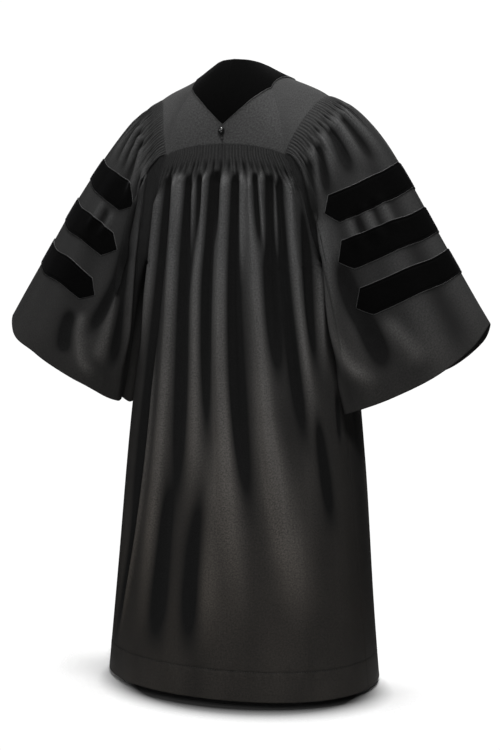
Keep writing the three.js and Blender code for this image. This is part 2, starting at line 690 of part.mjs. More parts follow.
/** Closed solid of the laid velvet's thickness over numbered points and triangles. */
function solidOf(points, triangles) {
  const raised = (gap) => points.map(({ outer, normal }) => outer.clone().addScaledVector(normal, gap));
  const raisedPoints = [...raised(LAY_GAP + VELVET_WALL), ...raised(LAY_GAP)];
  const positions = raisedPoints.flatMap(({ x, y, z }) => [x, y, z]);
  const count = points.length;
  const edges = new Set(triangles.flatMap(([a, b, c]) => [`${a},${b}`, `${b},${c}`, `${c},${a}`]));
  const index = triangles.flatMap(([a, b, c]) => [a, b, c, a + count, c + count, b + count]);
  for (const edge of edges) {
    const [a, b] = edge.split(',').map(Number);
    if (!edges.has(`${b},${a}`)) index.push(b, a, a + count, b, a + count, b + count);
  }
  return orientedGeometry(positions, index);
}

/** How far out the neck velvet reaches at a round; all of the yoke above the front facings. */
function velvetReach(round) {
  const half = Math.abs(round);
  const widened = smoothstep(half, VELVET_REACH[VELVET_REACH.length - 1].round, FACING_ROUND);
  return lerp(read(VELVET_REACH, 'round', half, 'reach'), 1, widened);
}

/** Neck velvet, laid on the yoke. */
function neckVelvet() {
  const rounds = yokeRounds();
  const regions = rounds.slice(1).map((round, k) => [
    [rounds[k], 0],
    [round, 0],
    [round, velvetReach(round)],
    [rounds[k], velvetReach(rounds[k])],
  ]);
  return laidPiece(facets(yokeRows(), false), regions);
}

/** Left front facing, laid on the front from its centre edge to the facing's edge. */
const frontFacing = (rows) => {
  const outline = [[0, 0], [1, 0], [1, GOWN_HEIGHT], [0, GOWN_HEIGHT]];
  return laidPiece(facets(rows, false), [outline]);
};

// Sleeves. Rounds run from the shoulder (0) by the back to the underarm (0.5) and by the front to 1.

/** Point of the left armhole, with the way out of the panel there and the outward normal. */
function armhole(round) {
  const back = round <= 0.5;
  const half = back ? round : 1 - round;
  const sections = back ? BACK_SECTIONS : FRONT_SECTIONS;
  const side = back ? 1 : -1;
  const corner = back ? ROUND_BACK_CORNER : ROUND_FRONT_CORNER;
  const yokeRound = (value) => lerp(ROUND_SHOULDER, corner, value / SLEEVE_CORNER_ROUND);
  const height = (value) => {
    const down = (value - SLEEVE_CORNER_ROUND) / (0.5 - SLEEVE_CORNER_ROUND);
    return lerp(back ? backSeamHeight(1) : FRONT_SEAM_HEIGHT, UNDERARM_HEIGHT, down);
  };
  const onYoke = half <= SLEEVE_CORNER_ROUND;
  const place = (value) => (value <= SLEEVE_CORNER_ROUND
    ? yokeEdge(yokeRound(value))
    : sectionPoint(sections, 1, height(value)));
  const normal = onYoke
    ? normalOf(yokePoint, yokeRound(half), YOKE_BESIDE_ARMHOLE, 1)
    : normalOf((u, v) => sectionPoint(sections, u, v), PANEL_BESIDE_ARMHOLE, height(half), -side);
  const after = place(Math.min(half + ARMHOLE_STEP, 0.5));
  const tangent = after.sub(place(Math.max(half - ARMHOLE_STEP, 0))).normalize();
  const out = tangent.cross(normal).multiplyScalar(side).normalize();
  return { point: place(half), out, normal };
}

/** Rounds of the sleeve's columns below the yoke's corners, at the heights of the panels' rows. */
function underRounds(back) {
  const corner = back ? backSeamHeight(1) : FRONT_SEAM_HEIGHT;
  const band = [SEAM_GAP, FLUTE_BAND].map((below) => corner - below);
  const heights = [...band, ...BODY_HEIGHTS.filter((height) => height > UNDERARM_HEIGHT)];
  return heights.map((height) => {
    const down = (corner - height) / (corner - UNDERARM_HEIGHT);
    const half = lerp(SLEEVE_CORNER_ROUND, 0.5, down);
    return back ? half : 1 - half;
  });
}

/** A row of the sleeve's half table as it is on the other side of the shoulder or underarm. */
const acrossFrom = (row, round) => {
  const hemY = 2 * SLEEVE_HALF[0].hemY - row.hemY;
  return { ...row, round, hemY, fallY: -row.fallY };
};

/** The half table with one row more at each end, so that the sleeve is round there. */
const SLEEVE_RING = [
  acrossFrom(SLEEVE_HALF[1], -SLEEVE_HALF[1].round),
  ...SLEEVE_HALF,
  acrossFrom(SLEEVE_HALF[SLEEVE_HALF.length - 2], 1 - SLEEVE_HALF[SLEEVE_HALF.length - 2].round),
];

/** Half-table row of the sleeve at any round, with the front half flatter than the back. */
function sleeveStation(round, hang) {
  const back = round <= 0.5;
  const half = back ? round : 1 - round;
  const at = (column) => read(SLEEVE_RING, 'round', half, column);
  const centre = SLEEVE_HALF[0].hemY;
  const sideways = (y) => (back ? y : centre - (y - centre) * SLEEVE_FRONT_FLATTER);
  const dropShare = smoothstep(at('hemX'), 450, 549);
  const frontClear = SLEEVE_FRONT_CLEARANCE * (1 - smoothstep(at('hemX'), 270, 380));
  const liftShare = smoothstep(at('hemX'), 260, 340) * (1 - dropShare);
  const slump = hang.slump * (1 - smoothstep(half, 0.1, 0.3));
  return {
    straight: at('straight'),
    puff: at('puff') - slump,
    sag: at('sag'),
    leave: at('leave') * (1 - slump / 2),
    hem: vec(
      at('hemX') + (back ? 0 : frontClear),
      sideways(at('hemY')),
      at('hemZ') - hang.drop * dropShare + hang.lift * liftShare,
    ),
    fall: vec(at('fallX'), back ? at('fallY') : -at('fallY'), at('fallZ')).normalize(),
    arrive: at('arrive'),
  };
}

/** Plain form of the left sleeve; down runs from the armhole (0) to the sleeve's hem (1). */
function sleevePoint(round, down, hang) {
  const wrapped = ((round % 1) + 1) % 1;
  const { point, out, normal } = armhole(wrapped);
  const { straight, puff, sag, leave, hem, fall, arrive } = sleeveStation(wrapped, hang);
  const leaving = out.clone().multiplyScalar(straight)
    .addScaledVector(normal, puff)
    .add(vec(0, 0, -sag))
    .normalize();
  const start = point.clone().addScaledVector(leaving, SLEEVE_GAP);
  const startHandle = start.clone().addScaledVector(leaving, leave);
  const endHandle = hem.clone().addScaledVector(fall, -arrive);
  const path = (t) => cubic(start, startHandle, endHandle, hem, t);
  return clearOfBody(path(evenPace(path, down)), read(SLEEVE_CLEARANCE, 'down', down, 'away'));
}

/** Full sections of the body at even heights, as level points from the centre back to the front. */
const BODY_GRID = Array.from({ length: Math.ceil(BACK_SEAM_HEIGHT / GRID_STEP) + 1 }, (_, level) => {
  const shares = Array.from({ length: PACE_STEPS + 1 }, (__, k) => k / PACE_STEPS);
  const along = (sections, share) => fullSectionPoint(sections, share, level * GRID_STEP);
  const back = shares.map((share) => along(BACK_SECTIONS, share));
  const front = shares.slice(0, -1).reverse().map((share) => along(FRONT_SECTIONS, share));
  return [...back, ...front];
});

/** A point of the left sleeve moved level out of the body until it is clear of it. */
function clearOfBody(point, away) {
  const level = point.z / GRID_STEP;
  const floor = Math.floor(level);
  if (away <= 0 || floor < 0 || floor > BODY_GRID.length - 2) return point;
  const ring = BODY_GRID[floor].map((lower, k) => lower.clone().lerp(BODY_GRID[floor + 1][k], level - floor));
  let nearest = { distance: Infinity };
  for (let k = 0; k < ring.length - 1; k += 1) {
    const edge = ring[k + 1].clone().sub(ring[k]);
    const offset = point.clone().sub(ring[k]);
    const share = clamp(offset.dot(edge) / edge.lengthSq(), 0, 1);
    const gap = offset.addScaledVector(edge, -share);
    if (gap.length() < nearest.distance) {
      const outward = vec(-edge.y, edge.x, 0).normalize();
      const distance = gap.length();
      nearest = { distance, signed: gap.dot(outward) > 0 ? distance : -distance, outward };
    }
  }
  const { signed, outward } = nearest;
  if (signed > 2 * away) return point;
  const wanted = away + (Math.max(signed, 0) ** 2) / (4 * away);
  return point.addScaledVector(outward, wanted - signed);
}

/** Place on a path at an even share of its length. */
function evenPace(path, share) {
  const lengths = [0];
  let before = path(0);
  for (let k = 1; k <= PACE_STEPS; k += 1) {
    const next = path(k / PACE_STEPS);
    lengths.push(lengths[k - 1] + next.distanceTo(before));
    before = next;
  }
  const wanted = share * lengths[PACE_STEPS];
  let k = 0;
  while (k < PACE_STEPS - 1 && wanted > lengths[k + 1]) k += 1;
  return (k + (wanted - lengths[k]) / (lengths[k + 1] - lengths[k])) / PACE_STEPS;
}

/** How far the folds of a sleeve stand out of its plain form. */
function sleeveFoldRise(round, down) {
  const half = round <= 0.5 ? round : 1 - round;
  return SLEEVE_FOLDS.reduce((sum, fold) => {
    const along = (down - fold.upper) / (fold.lower - fold.upper);
    const inside = clamp(along, 0, 1);
    const middle = lerp(fold.from, fold.to, inside) + fold.bow * Math.sin(Math.PI * inside);
    const fade = smoothstep(along, -0.25, 0.2) * (1 - smoothstep(along, 0.8, 1.25));
    return sum + fold.rise * fade * bump(half - middle, fold.width);
  }, 0) * smoothstep(down, 0.06, 0.16);
}

/** Wall point of the left sleeve. */
function sleeveColumn(round, down, ripple, hang) {
  const surface = (u, v) => sleevePoint(u, v, hang);
  const normal = normalOf(surface, round, clamp(down, SLEEVE_HEAD_BORDER, SEAM_BORDER), -1);
  const outer = surface(round, down).addScaledVector(normal, ripple + sleeveFoldRise(round, down));
  const inner = outer.clone().addScaledVector(normal, -CLOTH_WALL);
  const turned = round > 0.5 ? round - 1 : round;
  return { at: round, place: [turned, down], outer, inner, normal };
}

/** Rows of the left sleeve, closed round the arm. */
function sleeveRows(hang) {
  const rows = [];
  const fluteColumns = SLEEVE_FLUTES_PER_SIDE * 2;
  const bandRows = [
    { down: 0, strength: 0.5 },
    { down: 0.06, strength: 1 },
  ];
  for (const { down, strength } of bandRows) {
    const head = (c, from) => {
      const round = from + (c / fluteColumns) * SLEEVE_CORNER_ROUND;
      return sleeveColumn(round, down, flute(c) * strength, hang);
    };
    const fluted = (from) => Array.from({ length: fluteColumns }, (_, c) => head(c, from));
    const under = [...underRounds(true), 0.5, ...underRounds(false).reverse()];
    const plain = under.map((round) => sleeveColumn(round, down, 0, hang));
    rows.push([...fluted(0), ...plain, ...fluted(1 - SLEEVE_CORNER_ROUND)]);
  }
  for (const down of SLEEVE_STATIONS) {
    const row = [];
    for (let c = 0; c < SLEEVE_COLUMNS; c += 1) row.push(sleeveColumn(c / SLEEVE_COLUMNS, down, 0, hang));
    rows.push(row);
  }
  return rows;
}

/** Velvet bar, laid on the sleeve from the point at the back over the outer line to the front's. */
function sleeveBar(rows, bar) {
  const regions = [1, -1].flatMap((way) => {
    const halfway = way * BAR_HALFWAY;
    const middle = [[0, bar.outerTop], [halfway, bar.halfTop], [halfway, bar.halfEnd], [0, bar.outerEnd]];
    const point = [
      [halfway, bar.halfTop],
      [way * bar.topRound, bar.top],
      [way * bar.tipRound, bar.tip],
      [way * bar.endRound, bar.end],
      [halfway, bar.halfEnd],
    ];
    return way > 0 ? [middle, point] : [middle.reverse(), point.reverse()];
  });
  return laidPiece(facets(rows, true), regions);
}

// Button and cord.

/** Point of the centre back of the yoke at a height, so far out from it. */
function onYoke(height, away) {
  let [low, high] = [0, 1];
  for (let step = 0; step < PACE_STEPS; step += 1) {
    const middle = (low + high) / 2;
    if (yokePoint(0, middle).z > height) low = middle;
    else high = middle;
  }
  const { outer, normal } = yokeColumn(0, low);
  return outer.addScaledVector(normal, away);
}

/** Acorn button, hung against the yoke below the point of the velvet. */
function buttonGeometry() {
  const profile = [];
  for (let k = 0; k <= BUTTON_STEPS; k += 1) {
    const t = k / BUTTON_STEPS;
    const radius = BUTTON_RADIUS * Math.sin(Math.PI * t) ** 0.62 * lerp(0.82, 1.06, t);
    profile.push(new THREE.Vector2(k === 0 || k === BUTTON_STEPS ? 0 : radius, BUTTON_LENGTH * (t - 0.5)));
  }
  const geometry = new THREE.LatheGeometry(profile, BUTTON_SIDES);
  geometry.rotateX(Math.PI / 2);
  const seat = onYoke(BUTTON_HEIGHT, BUTTON_AWAY);
  geometry.translate(0, seat.y, BUTTON_HEIGHT);
  return geometry;
}

/** Cord from below the button to the gathered seam. */
function cordGeometry() {
  const route = CORD_HEIGHTS.map((height) => onYoke(height, CORD_RADIUS + SEAM_GAP));
  const section = new THREE.Shape();
  section.absarc(0, 0, CORD_RADIUS, 0, Math.PI * 2, false);
  const path = new THREE.CatmullRomCurve3(route);
  const settings = { steps: CORD_STEPS, curveSegments: 4, extrudePath: path, bevelEnabled: false };
  return new THREE.ExtrudeGeometry(section, settings);
}

/** Rows mirrored from the wearer's left to the right. */
function mirrored(rows) {
  const flip = ({ x, y, z }) => vec(-x, y, z);
  return rows.map((row) => row.map(({ at, place, outer, inner, normal }) => (
    { at, place, outer: flip(outer), inner: flip(inner), normal: flip(normal) }
  )));
}

const gown = new THREE.Group();
gown.position.z = -ORIGIN_HEIGHT;

/** Leans the shoulders: the wearer's left hangs a little lower than the right. */
function lean(geometry) {
  const position = geometry.getAttribute('position');
  for (let k = 0; k < position.count; k += 1) {
    const share = smoothstep(position.getZ(k), LEAN_FROM, LEAN_FULL);
    position.setZ(k, position.getZ(k) - LEAN * share * position.getX(k));
  }
  geometry.computeVertexNormals();
}

/** Adds a named piece to the gown. */
function addPiece(name, geometry, finish) {
  lean(geometry);
  const mesh = new THREE.Mesh(geometry, new THREE.MeshStandardMaterial(finish));
  mesh.name = name;
  gown.add(mesh);
}

addPiece('yoke', wall(yokeRows(), false), YOKE_FINISH);
addPiece('neck_velvet', neckVelvet(), VELVET_FINISH);
addPiece('back_panel', wall(backRows(), false), CLOTH_FINISH);

const leftFront = frontRows();
addPiece('front_panel_left', wall(leftFront, false), CLOTH_FINISH);
addPiece('front_panel_right', wall(mirrored(leftFront), false), CLOTH_FINISH);

addPiece('facing_left', frontFacing(leftFront), VELVET_FINISH);
addPiece('facing_right', frontFacing(mirrored(leftFront)), VELVET_FINISH);

for (const { side, turn } of [
  { side: 'left', turn: (rows) => rows },
  { side: 'right', turn: mirrored },
]) {
  const rows = sleeveRows(SLEEVE_HANGS[side]);
  addPiece(`sleeve_${side}`, wall(turn(rows), true), CLOTH_FINISH);
  for (const bar of SLEEVE_BARS[side]) {
    addPiece(`bar_${bar.name}_${side}`, sleeveBar(turn(rows), bar), VELVET_FINISH);
  }
}

addPiece('button', buttonGeometry(), BUTTON_FINISH);
addPiece('button_cord', cordGeometry(), BUTTON_FINISH);

export default gown;
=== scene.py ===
"""Dresses the doctoral gown: gathered satin twill, velvet, button, cord and stitches.

Sizes are in millimetres, and heights are measured from the hem. `to_frame` turns a place into the
frame's metres. +X is the wearer's left, +Y the back, and the gown is seen from the back.
"""

from __future__ import annotations

import logging
import math
from dataclasses import dataclass, field, replace
from enum import Enum
from typing import Callable, ClassVar, Sequence

import bpy
import numpy as np
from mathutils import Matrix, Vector

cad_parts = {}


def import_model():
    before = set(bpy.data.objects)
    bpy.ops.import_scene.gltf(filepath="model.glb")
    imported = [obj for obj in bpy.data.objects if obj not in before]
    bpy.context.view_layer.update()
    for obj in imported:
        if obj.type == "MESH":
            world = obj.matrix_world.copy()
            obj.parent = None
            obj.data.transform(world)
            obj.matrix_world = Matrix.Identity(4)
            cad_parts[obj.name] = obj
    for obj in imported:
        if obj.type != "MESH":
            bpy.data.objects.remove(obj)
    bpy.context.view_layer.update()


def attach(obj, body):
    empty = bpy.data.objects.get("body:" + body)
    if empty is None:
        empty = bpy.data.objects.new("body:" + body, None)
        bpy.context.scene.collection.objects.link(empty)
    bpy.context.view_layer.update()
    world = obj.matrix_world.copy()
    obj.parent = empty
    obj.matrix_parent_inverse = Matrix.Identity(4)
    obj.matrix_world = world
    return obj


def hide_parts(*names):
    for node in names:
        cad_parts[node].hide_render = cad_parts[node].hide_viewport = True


Array = np.ndarray
Surface = Callable[[Array, Array], Array]
Range = tuple[float, float]

log = logging.getLogger("gown")

ORIGIN_HEIGHT = 1300.0
METRES = 0.001
LEAN = 0.027
LEAN_FROM = 980.0
LEAN_FULL = 1200.0
SMALL_STEP = 1e-3
BODY_NAME = "root"
HEM_HEIGHT = 63.0
WALL = 1.3
HEM_WALL = 2.1
VELVET_THICK = 2.0
VELVET_LAY = 0.5
UNDER_VELVET = 0.2
VELVET_BULGE = 0.4
STITCH_LIFT = 0.25


class Face(Enum):
    """Face of the body that a panel covers; the value is the sign of its Y."""

    BACK = 1
    FRONT = -1


class Side(Enum):
    """The wearer's side; the value is the sign of its X."""

    LEFT = 1
    RIGHT = -1

    @property
    def word(self) -> str:
        """The side's name, as it stands in the names of pieces."""
        return self.name.lower()


def smoothstep(at: Array | float, low: float, high: float) -> Array:
    """Soft step from 0 at low to 1 at high."""
    share = np.clip((np.asarray(at, float) - low) / (high - low), 0.0, 1.0)
    return share * share * (3 - 2 * share)


def mix(low: Array | float, high: Array | float, share: Array | float) -> Array:
    """Value between low (share 0) and high (share 1)."""
    return low + (high - low) * share


def bump(distance: Array, width: Array | float) -> Array:
    """Soft bump that is 1 at the middle and nearly nothing two widths away."""
    return np.exp(-((distance / width) ** 2))


def share_where(inside: Callable[[Array], Array], like: Array, steps: int) -> Array:
    """Share, from 0 to 1, up to which a test holds, found by halving.

    Args:
        inside: Tells for each share whether the test holds.
        like: An array of the wanted shape.
        steps: How often the span is halved.

    Returns:
        The shares.
    """
    low, high = np.zeros_like(like, float), np.ones_like(like, float)
    for _ in range(steps):
        middle = (low + high) / 2
        holds = inside(middle)
        low, high = np.where(holds, middle, low), np.where(holds, high, middle)
    return low


def stack(x: Array | float, y: Array | float, z: Array | float) -> Array:
    """Points from their three coordinates."""
    return np.stack(np.broadcast_arrays(np.asarray(x, float), y, z), axis=-1)


def unit(vectors: Array) -> Array:
    """The vectors at length 1."""
    return vectors / np.maximum(np.linalg.norm(vectors, axis=-1, keepdims=True), 1e-12)


def cubic(start: Array, start_handle: Array, end_handle: Array, end: Array, share: Array | float) -> Array:
    """Points of a cubic curve from its ends and handles."""
    t = np.asarray(share, float)[..., None]
    r = 1 - t
    return start * r**3 + start_handle * (3 * r * r * t) + end_handle * (3 * r * t * t) + end * t**3


def normal_of(surface: Surface, u: Array, v: Array, sign: float) -> Array:
    """Outward normals of a surface, by small steps.

    Args:
        surface: Gives points from two coordinates.
        u: First coordinates.
        v: Second coordinates.
        sign: Turns the normals to the outside.

    Returns:
        Unit normals.
    """
    across = surface(u + SMALL_STEP, v) - surface(u - SMALL_STEP, v)
    down = surface(u, v + SMALL_STEP) - surface(u, v - SMALL_STEP)
    return unit(np.cross(across, down)) * sign


def to_frame(points: Array) -> Array:
    """Places in the frame, in metres, with the shoulders' lean.

    Args:
        points: Places in millimetres above the hem.

    Returns:
        The same places in the frame.
    """
    placed = np.array(points, float)
    share = smoothstep(placed[..., 2], LEAN_FROM, LEAN_FULL)
    placed[..., 2] -= LEAN * share * placed[..., 0] + ORIGIN_HEIGHT
    return placed * METRES


@dataclass(frozen=True)
class Table:
    """Short table, read along its first column by a smooth curve through its rows.

    Attributes:
        names: The columns' names, the first of them the one that it is read along.
        rows: The rows, ascending in the first column.
    """

    names: str
    rows: tuple[tuple[float, ...], ...]

    def read(self, name: str, at: Array | float) -> Array:
        """Values of one column.

        Args:
            name: The column.
            at: Places along the first column.

        Returns:
            The column's values there, held level past both ends.
        """
        data = np.array(self.rows, float)
        along, values = data[:, 0], data[:, self.names.split().index(name)]
        numbers = np.arange(len(along))
        before, after = np.maximum(numbers - 1, 0), np.minimum(numbers + 1, len(along) - 1)
        slopes = (values[after] - values[before]) / (along[after] - along[before])
        place = np.clip(np.asarray(at, float), along[0], along[-1])
        row = np.clip(np.searchsorted(along, place, side="right") - 1, 0, len(along) - 2)
        span = along[row + 1] - along[row]
        t = (place - along[row]) / span
        return (
            (2 * t**3 - 3 * t**2 + 1) * values[row]
            + (t**3 - 2 * t**2 + t) * span * slopes[row]
            + (3 * t**2 - 2 * t**3) * values[row + 1]
            + (t**3 - t**2) * span * slopes[row + 1]
        )


BACK_SECTIONS = Table(
    "z centre_y flat turn",
    (
        (0, 233, 0.56, 0.62),
        (574, 189, 0.56, 0.66),
        (905, 163, 0.6, 0.8),
        (1040, 150, 0.62, 0.86),
        (1170, 136, 0.62, 0.94),
    ),
)
FRONT_SECTIONS = Table(
    "z centre_y flat turn",
    (
        (0, -228, 0.56, 0.62),
        (574, -194, 0.58, 0.66),
        (905, -160, 0.62, 0.76),
        (1040, -141, 0.62, 0.84),
        (1170, -124, 0.62, 0.96),
    ),
)
SIDES = Table("z x y", ((0, 303, 52), (574, 248, 43), (905, 209, 28), (1040, 203, 18), (1170, 190, 10)))
ARMHOLE_CUT = Table(
    "z back front",
    (
        (905, 1, 1),
        (920, 0.9, 0.88),
        (945, 0.83, 0.8),
        (990, 0.75, 0.71),
        (1040, 0.69, 0.64),
        (1085, 0.63, 0.58),
        (1120, 0.56, 0.53),
        (1147, 0.5, 0.5),
    ),
)
NECKLINE = Table(
    "around x y z",
    (
        (0, 0, 62, 1343),
        (0.12, 30, 53, 1340),
        (0.3, 54, 28, 1331),
        (0.5, 64, -8, 1316),
        (0.7, 50, -58, 1276),
        (0.86, 28, -88, 1240),
        (1, 1, -104, 1206),
    ),
)
YOKE_SLOPES = Table(
    "around start end",
    (
        (0, 40, 88),
        (0.22, 34, 82),
        (0.36, 26, 50),
        (0.5, 22, 32),
        (0.64, 28, 50),
        (0.78, 40, 80),
        (1, 58, 86),
    ),
)
VELVET_REACH = Table(
    "around reach",
    (
        (0, 0.8),
        (0.05, 0.64),
        (0.11, 0.49),
        (0.22, 0.34),
        (0.36, 0.3),
        (0.5, 0.36),
        (0.65, 0.46),
        (0.75, 0.62),
    ),
)


@dataclass(frozen=True)
class Body:
    """Plain form of the gown's body, as level sections from the centre to the side."""

    back_seam: float = 1170.0
    back_seam_dip: float = 23.0
    front_seam: float = 1150.0
    underarm: float = 905.0
    seam_gap: float = 0.3
    side_heading: float = 78.0
    level_step: float = 10.0
    level_points: int = 24

    def full(self, face: Face, share: Array | float, height: Array | float) -> Array:
        """Points of the full half section, with no armhole cut out of it.

        Args:
            face: Back or front.
            share: 0 at the centre, 1 at the side.
            height: Height above the hem.

        Returns:
            Points on the wearer's left.
        """
        table = BACK_SECTIONS if face is Face.BACK else FRONT_SECTIONS
        heading = math.radians(self.side_heading)
        direction = face.value * np.array([math.cos(heading), -math.sin(heading), 0.0])
        centre = stack(0.0, table.read("centre_y", height), height)
        side = stack(SIDES.read("x", height), SIDES.read("y", height), height) - direction * self.seam_gap / 2
        turn = table.read("turn", height) * np.abs(centre[..., 1] - side[..., 1])
        level = stack(table.read("flat", height) * side[..., 0], 0.0, 0.0)
        return cubic(centre, centre + level, side - direction * turn[..., None], side, share)

    def cut(self, face: Face, height: Array | float) -> Array:
        """How much of a section is left beside the armhole."""
        return ARMHOLE_CUT.read("back" if face is Face.BACK else "front", height)

    def point(self, face: Face, share: Array, height: Array | float) -> Array:
        """Points of a panel's plain form.

        Args:
            face: Back or front.
            share: -1 at the right seam, 0 at the centre, 1 at the left seam.
            height: Height above the hem.

        Returns:
            The points.
        """
        point = self.full(face, np.abs(share) * self.cut(face, height), height)
        return point * stack(np.where(np.asarray(share) < 0, -1.0, 1.0), 1.0, 1.0)

    def seam_height(self, face: Face, share: Array | float) -> Array:
        """Height of the gathered seam below the yoke."""
        dip = self.back_seam_dip * np.asarray(share, float) ** 2
        return self.back_seam - dip if face is Face.BACK else self.front_seam - 0 * dip

    def levels(self) -> Array:
        """Level rings round the wearer's left half at even heights, from the back to the front."""
        heights = np.arange(0, self.back_seam + self.level_step, self.level_step)[:, None]
        shares = np.linspace(0, 1, self.level_points + 1)[None, :]
        back = self.full(Face.BACK, shares + 0 * heights, heights + 0 * shares)
        front = self.full(Face.FRONT, shares + 0 * heights, heights + 0 * shares)
        return np.concatenate([back, front[:, -2::-1]], axis=1)


@dataclass(frozen=True)
class YokeForm:
    """Plain form of the left half of the yoke, from the neckline to its outer edge."""

    body: Body
    back_corner: float = 0.22
    shoulder: float = 0.5
    front_corner: float = 0.78
    shoulder_point: tuple[float, float, float] = (190.0, 0.0, 1263.0)
    upper_handle: tuple[float, float, float] = (172.0, 29.0, 1263.0)
    lower_handle: tuple[float, float, float] = (148.0, 108.0, 1200.0)
    handle_share: float = 0.36

    def edge(self, around: Array) -> Array:
        """Outer edge, from the centre back (0) by the shoulder to the centre front (1)."""
        around = np.asarray(around, float)
        body = self.body
        back_share = np.clip(around / self.back_corner, 0, 1)
        front_share = np.clip((1 - around) / (1 - self.front_corner), 0, 1)
        back = body.point(Face.BACK, back_share, body.seam_height(Face.BACK, back_share))
        front = body.point(Face.FRONT, front_share, body.seam_height(Face.FRONT, front_share))
        rear = around <= self.shoulder
        sign = np.where(rear, 1.0, -1.0)
        along = np.where(
            rear,
            (self.shoulder - around) / (self.shoulder - self.back_corner),
            (around - self.shoulder) / (self.front_corner - self.shoulder),
        )
        one = np.ones_like(around)
        rear_corner = body.point(Face.BACK, one, body.seam_height(Face.BACK, one))
        front_corner = body.point(Face.FRONT, one, body.seam_height(Face.FRONT, one))
        upper, lower = self.upper_handle, self.lower_handle
        side = cubic(
            np.array(self.shoulder_point),
            stack(upper[0], sign * upper[1], upper[2]),
            stack(lower[0], sign * lower[1], lower[2]),
            np.where(rear[..., None], rear_corner, front_corner),
            np.clip(along, 0, 1),
        )
        on_side = np.where((around <= self.back_corner)[..., None], back, side)
        return np.where((around >= self.front_corner)[..., None], front, on_side)

    def point(self, around: Array, out: Array) -> Array:
        """Points of the yoke.

        Args:
            around: 0 at the centre back, 1 at the centre front.
            out: 0 at the neckline, 1 at the outer edge.

        Returns:
            Points on the wearer's left.
        """
        around, out = np.broadcast_arrays(np.asarray(around, float), out)
        neck = stack(*(NECKLINE.read(axis, around) for axis in "xyz"))
        edge = self.edge(around)
        level = unit((edge - neck) * np.array([1.0, 1.0, 0.0]))
        reach = self.handle_share * np.linalg.norm(edge - neck, axis=-1)[..., None]

        def heading(column: str) -> Array:
            """Way of the yoke at the neckline or at its edge."""
            slope = np.radians(YOKE_SLOPES.read(column, around))[..., None]
            return level * np.cos(slope) - np.array([0.0, 0.0, 1.0]) * np.sin(slope)

        return cubic(neck, neck + heading("start") * reach, edge - heading("end") * reach, edge, out)

    def normal(self, around: Array, out: Array) -> Array:
        """Outward normals of the yoke."""
        return normal_of(self.point, np.clip(around, 0.004, 0.996), np.clip(out, 0.004, 0.996), 1.0)


SLEEVE_HALF = Table(
    "half straight puff sag leave hem_x hem_y hem_z fall_x fall_y fall_z arrive",
    (
        (-0.08, 1, 0.34, 0, 104, 524, -36, 758, 0.5, -0.02, -0.87, 300),
        (0, 1, 0.34, 0, 112, 549, 18, 803, 0.53, 0, -0.85, 320),
        (0.08, 1, 0.34, 0, 104, 524, 72, 758, 0.5, 0.02, -0.87, 300),
        (0.16, 1, 0.34, 0, 92, 458, 112, 701, 0.43, 0.03, -0.9, 290),
        (0.24, 1, 0.4, 0, 82, 368, 124, 652, 0.34, -0.02, -0.94, 290),
        (0.32, 1, 0.6, 0.05, 74, 292, 119, 620, 0.25, -0.12, -0.96, 270),
        (0.38, 0.6, 0.8, 0.25, 50, 261, 102, 608, 0.21, -0.19, -0.96, 240),
        (0.44, 0.2, 0.85, 0.5, 40, 268, 62, 603, 0.2, -0.06, -0.98, 180),
        (0.5, 0, 0.7, 0.7, 36, 281, 20, 602, 0.22, 0, -0.975, 140),
        (0.56, 0.2, 0.85, 0.5, 40, 268, -26, 603, 0.2, 0.06, -0.98, 180),
    ),
)
SLEEVE_CLEARANCE = Table("down away", ((0, 0), (0.06, 5), (0.3, 13), (1, 13)))


@dataclass(frozen=True)
class Hang:
    """How a sleeve hangs.

    Attributes:
        drop: How far its outer corner is lowered.
        lift: How far its hem's middle is raised.
        under: How far its hem is raised under the arm.
        front: How far its hem's inner part is raised in front.
        slump: How much its head is flattened.
    """

    drop: float
    lift: float
    under: float
    front: float
    slump: float


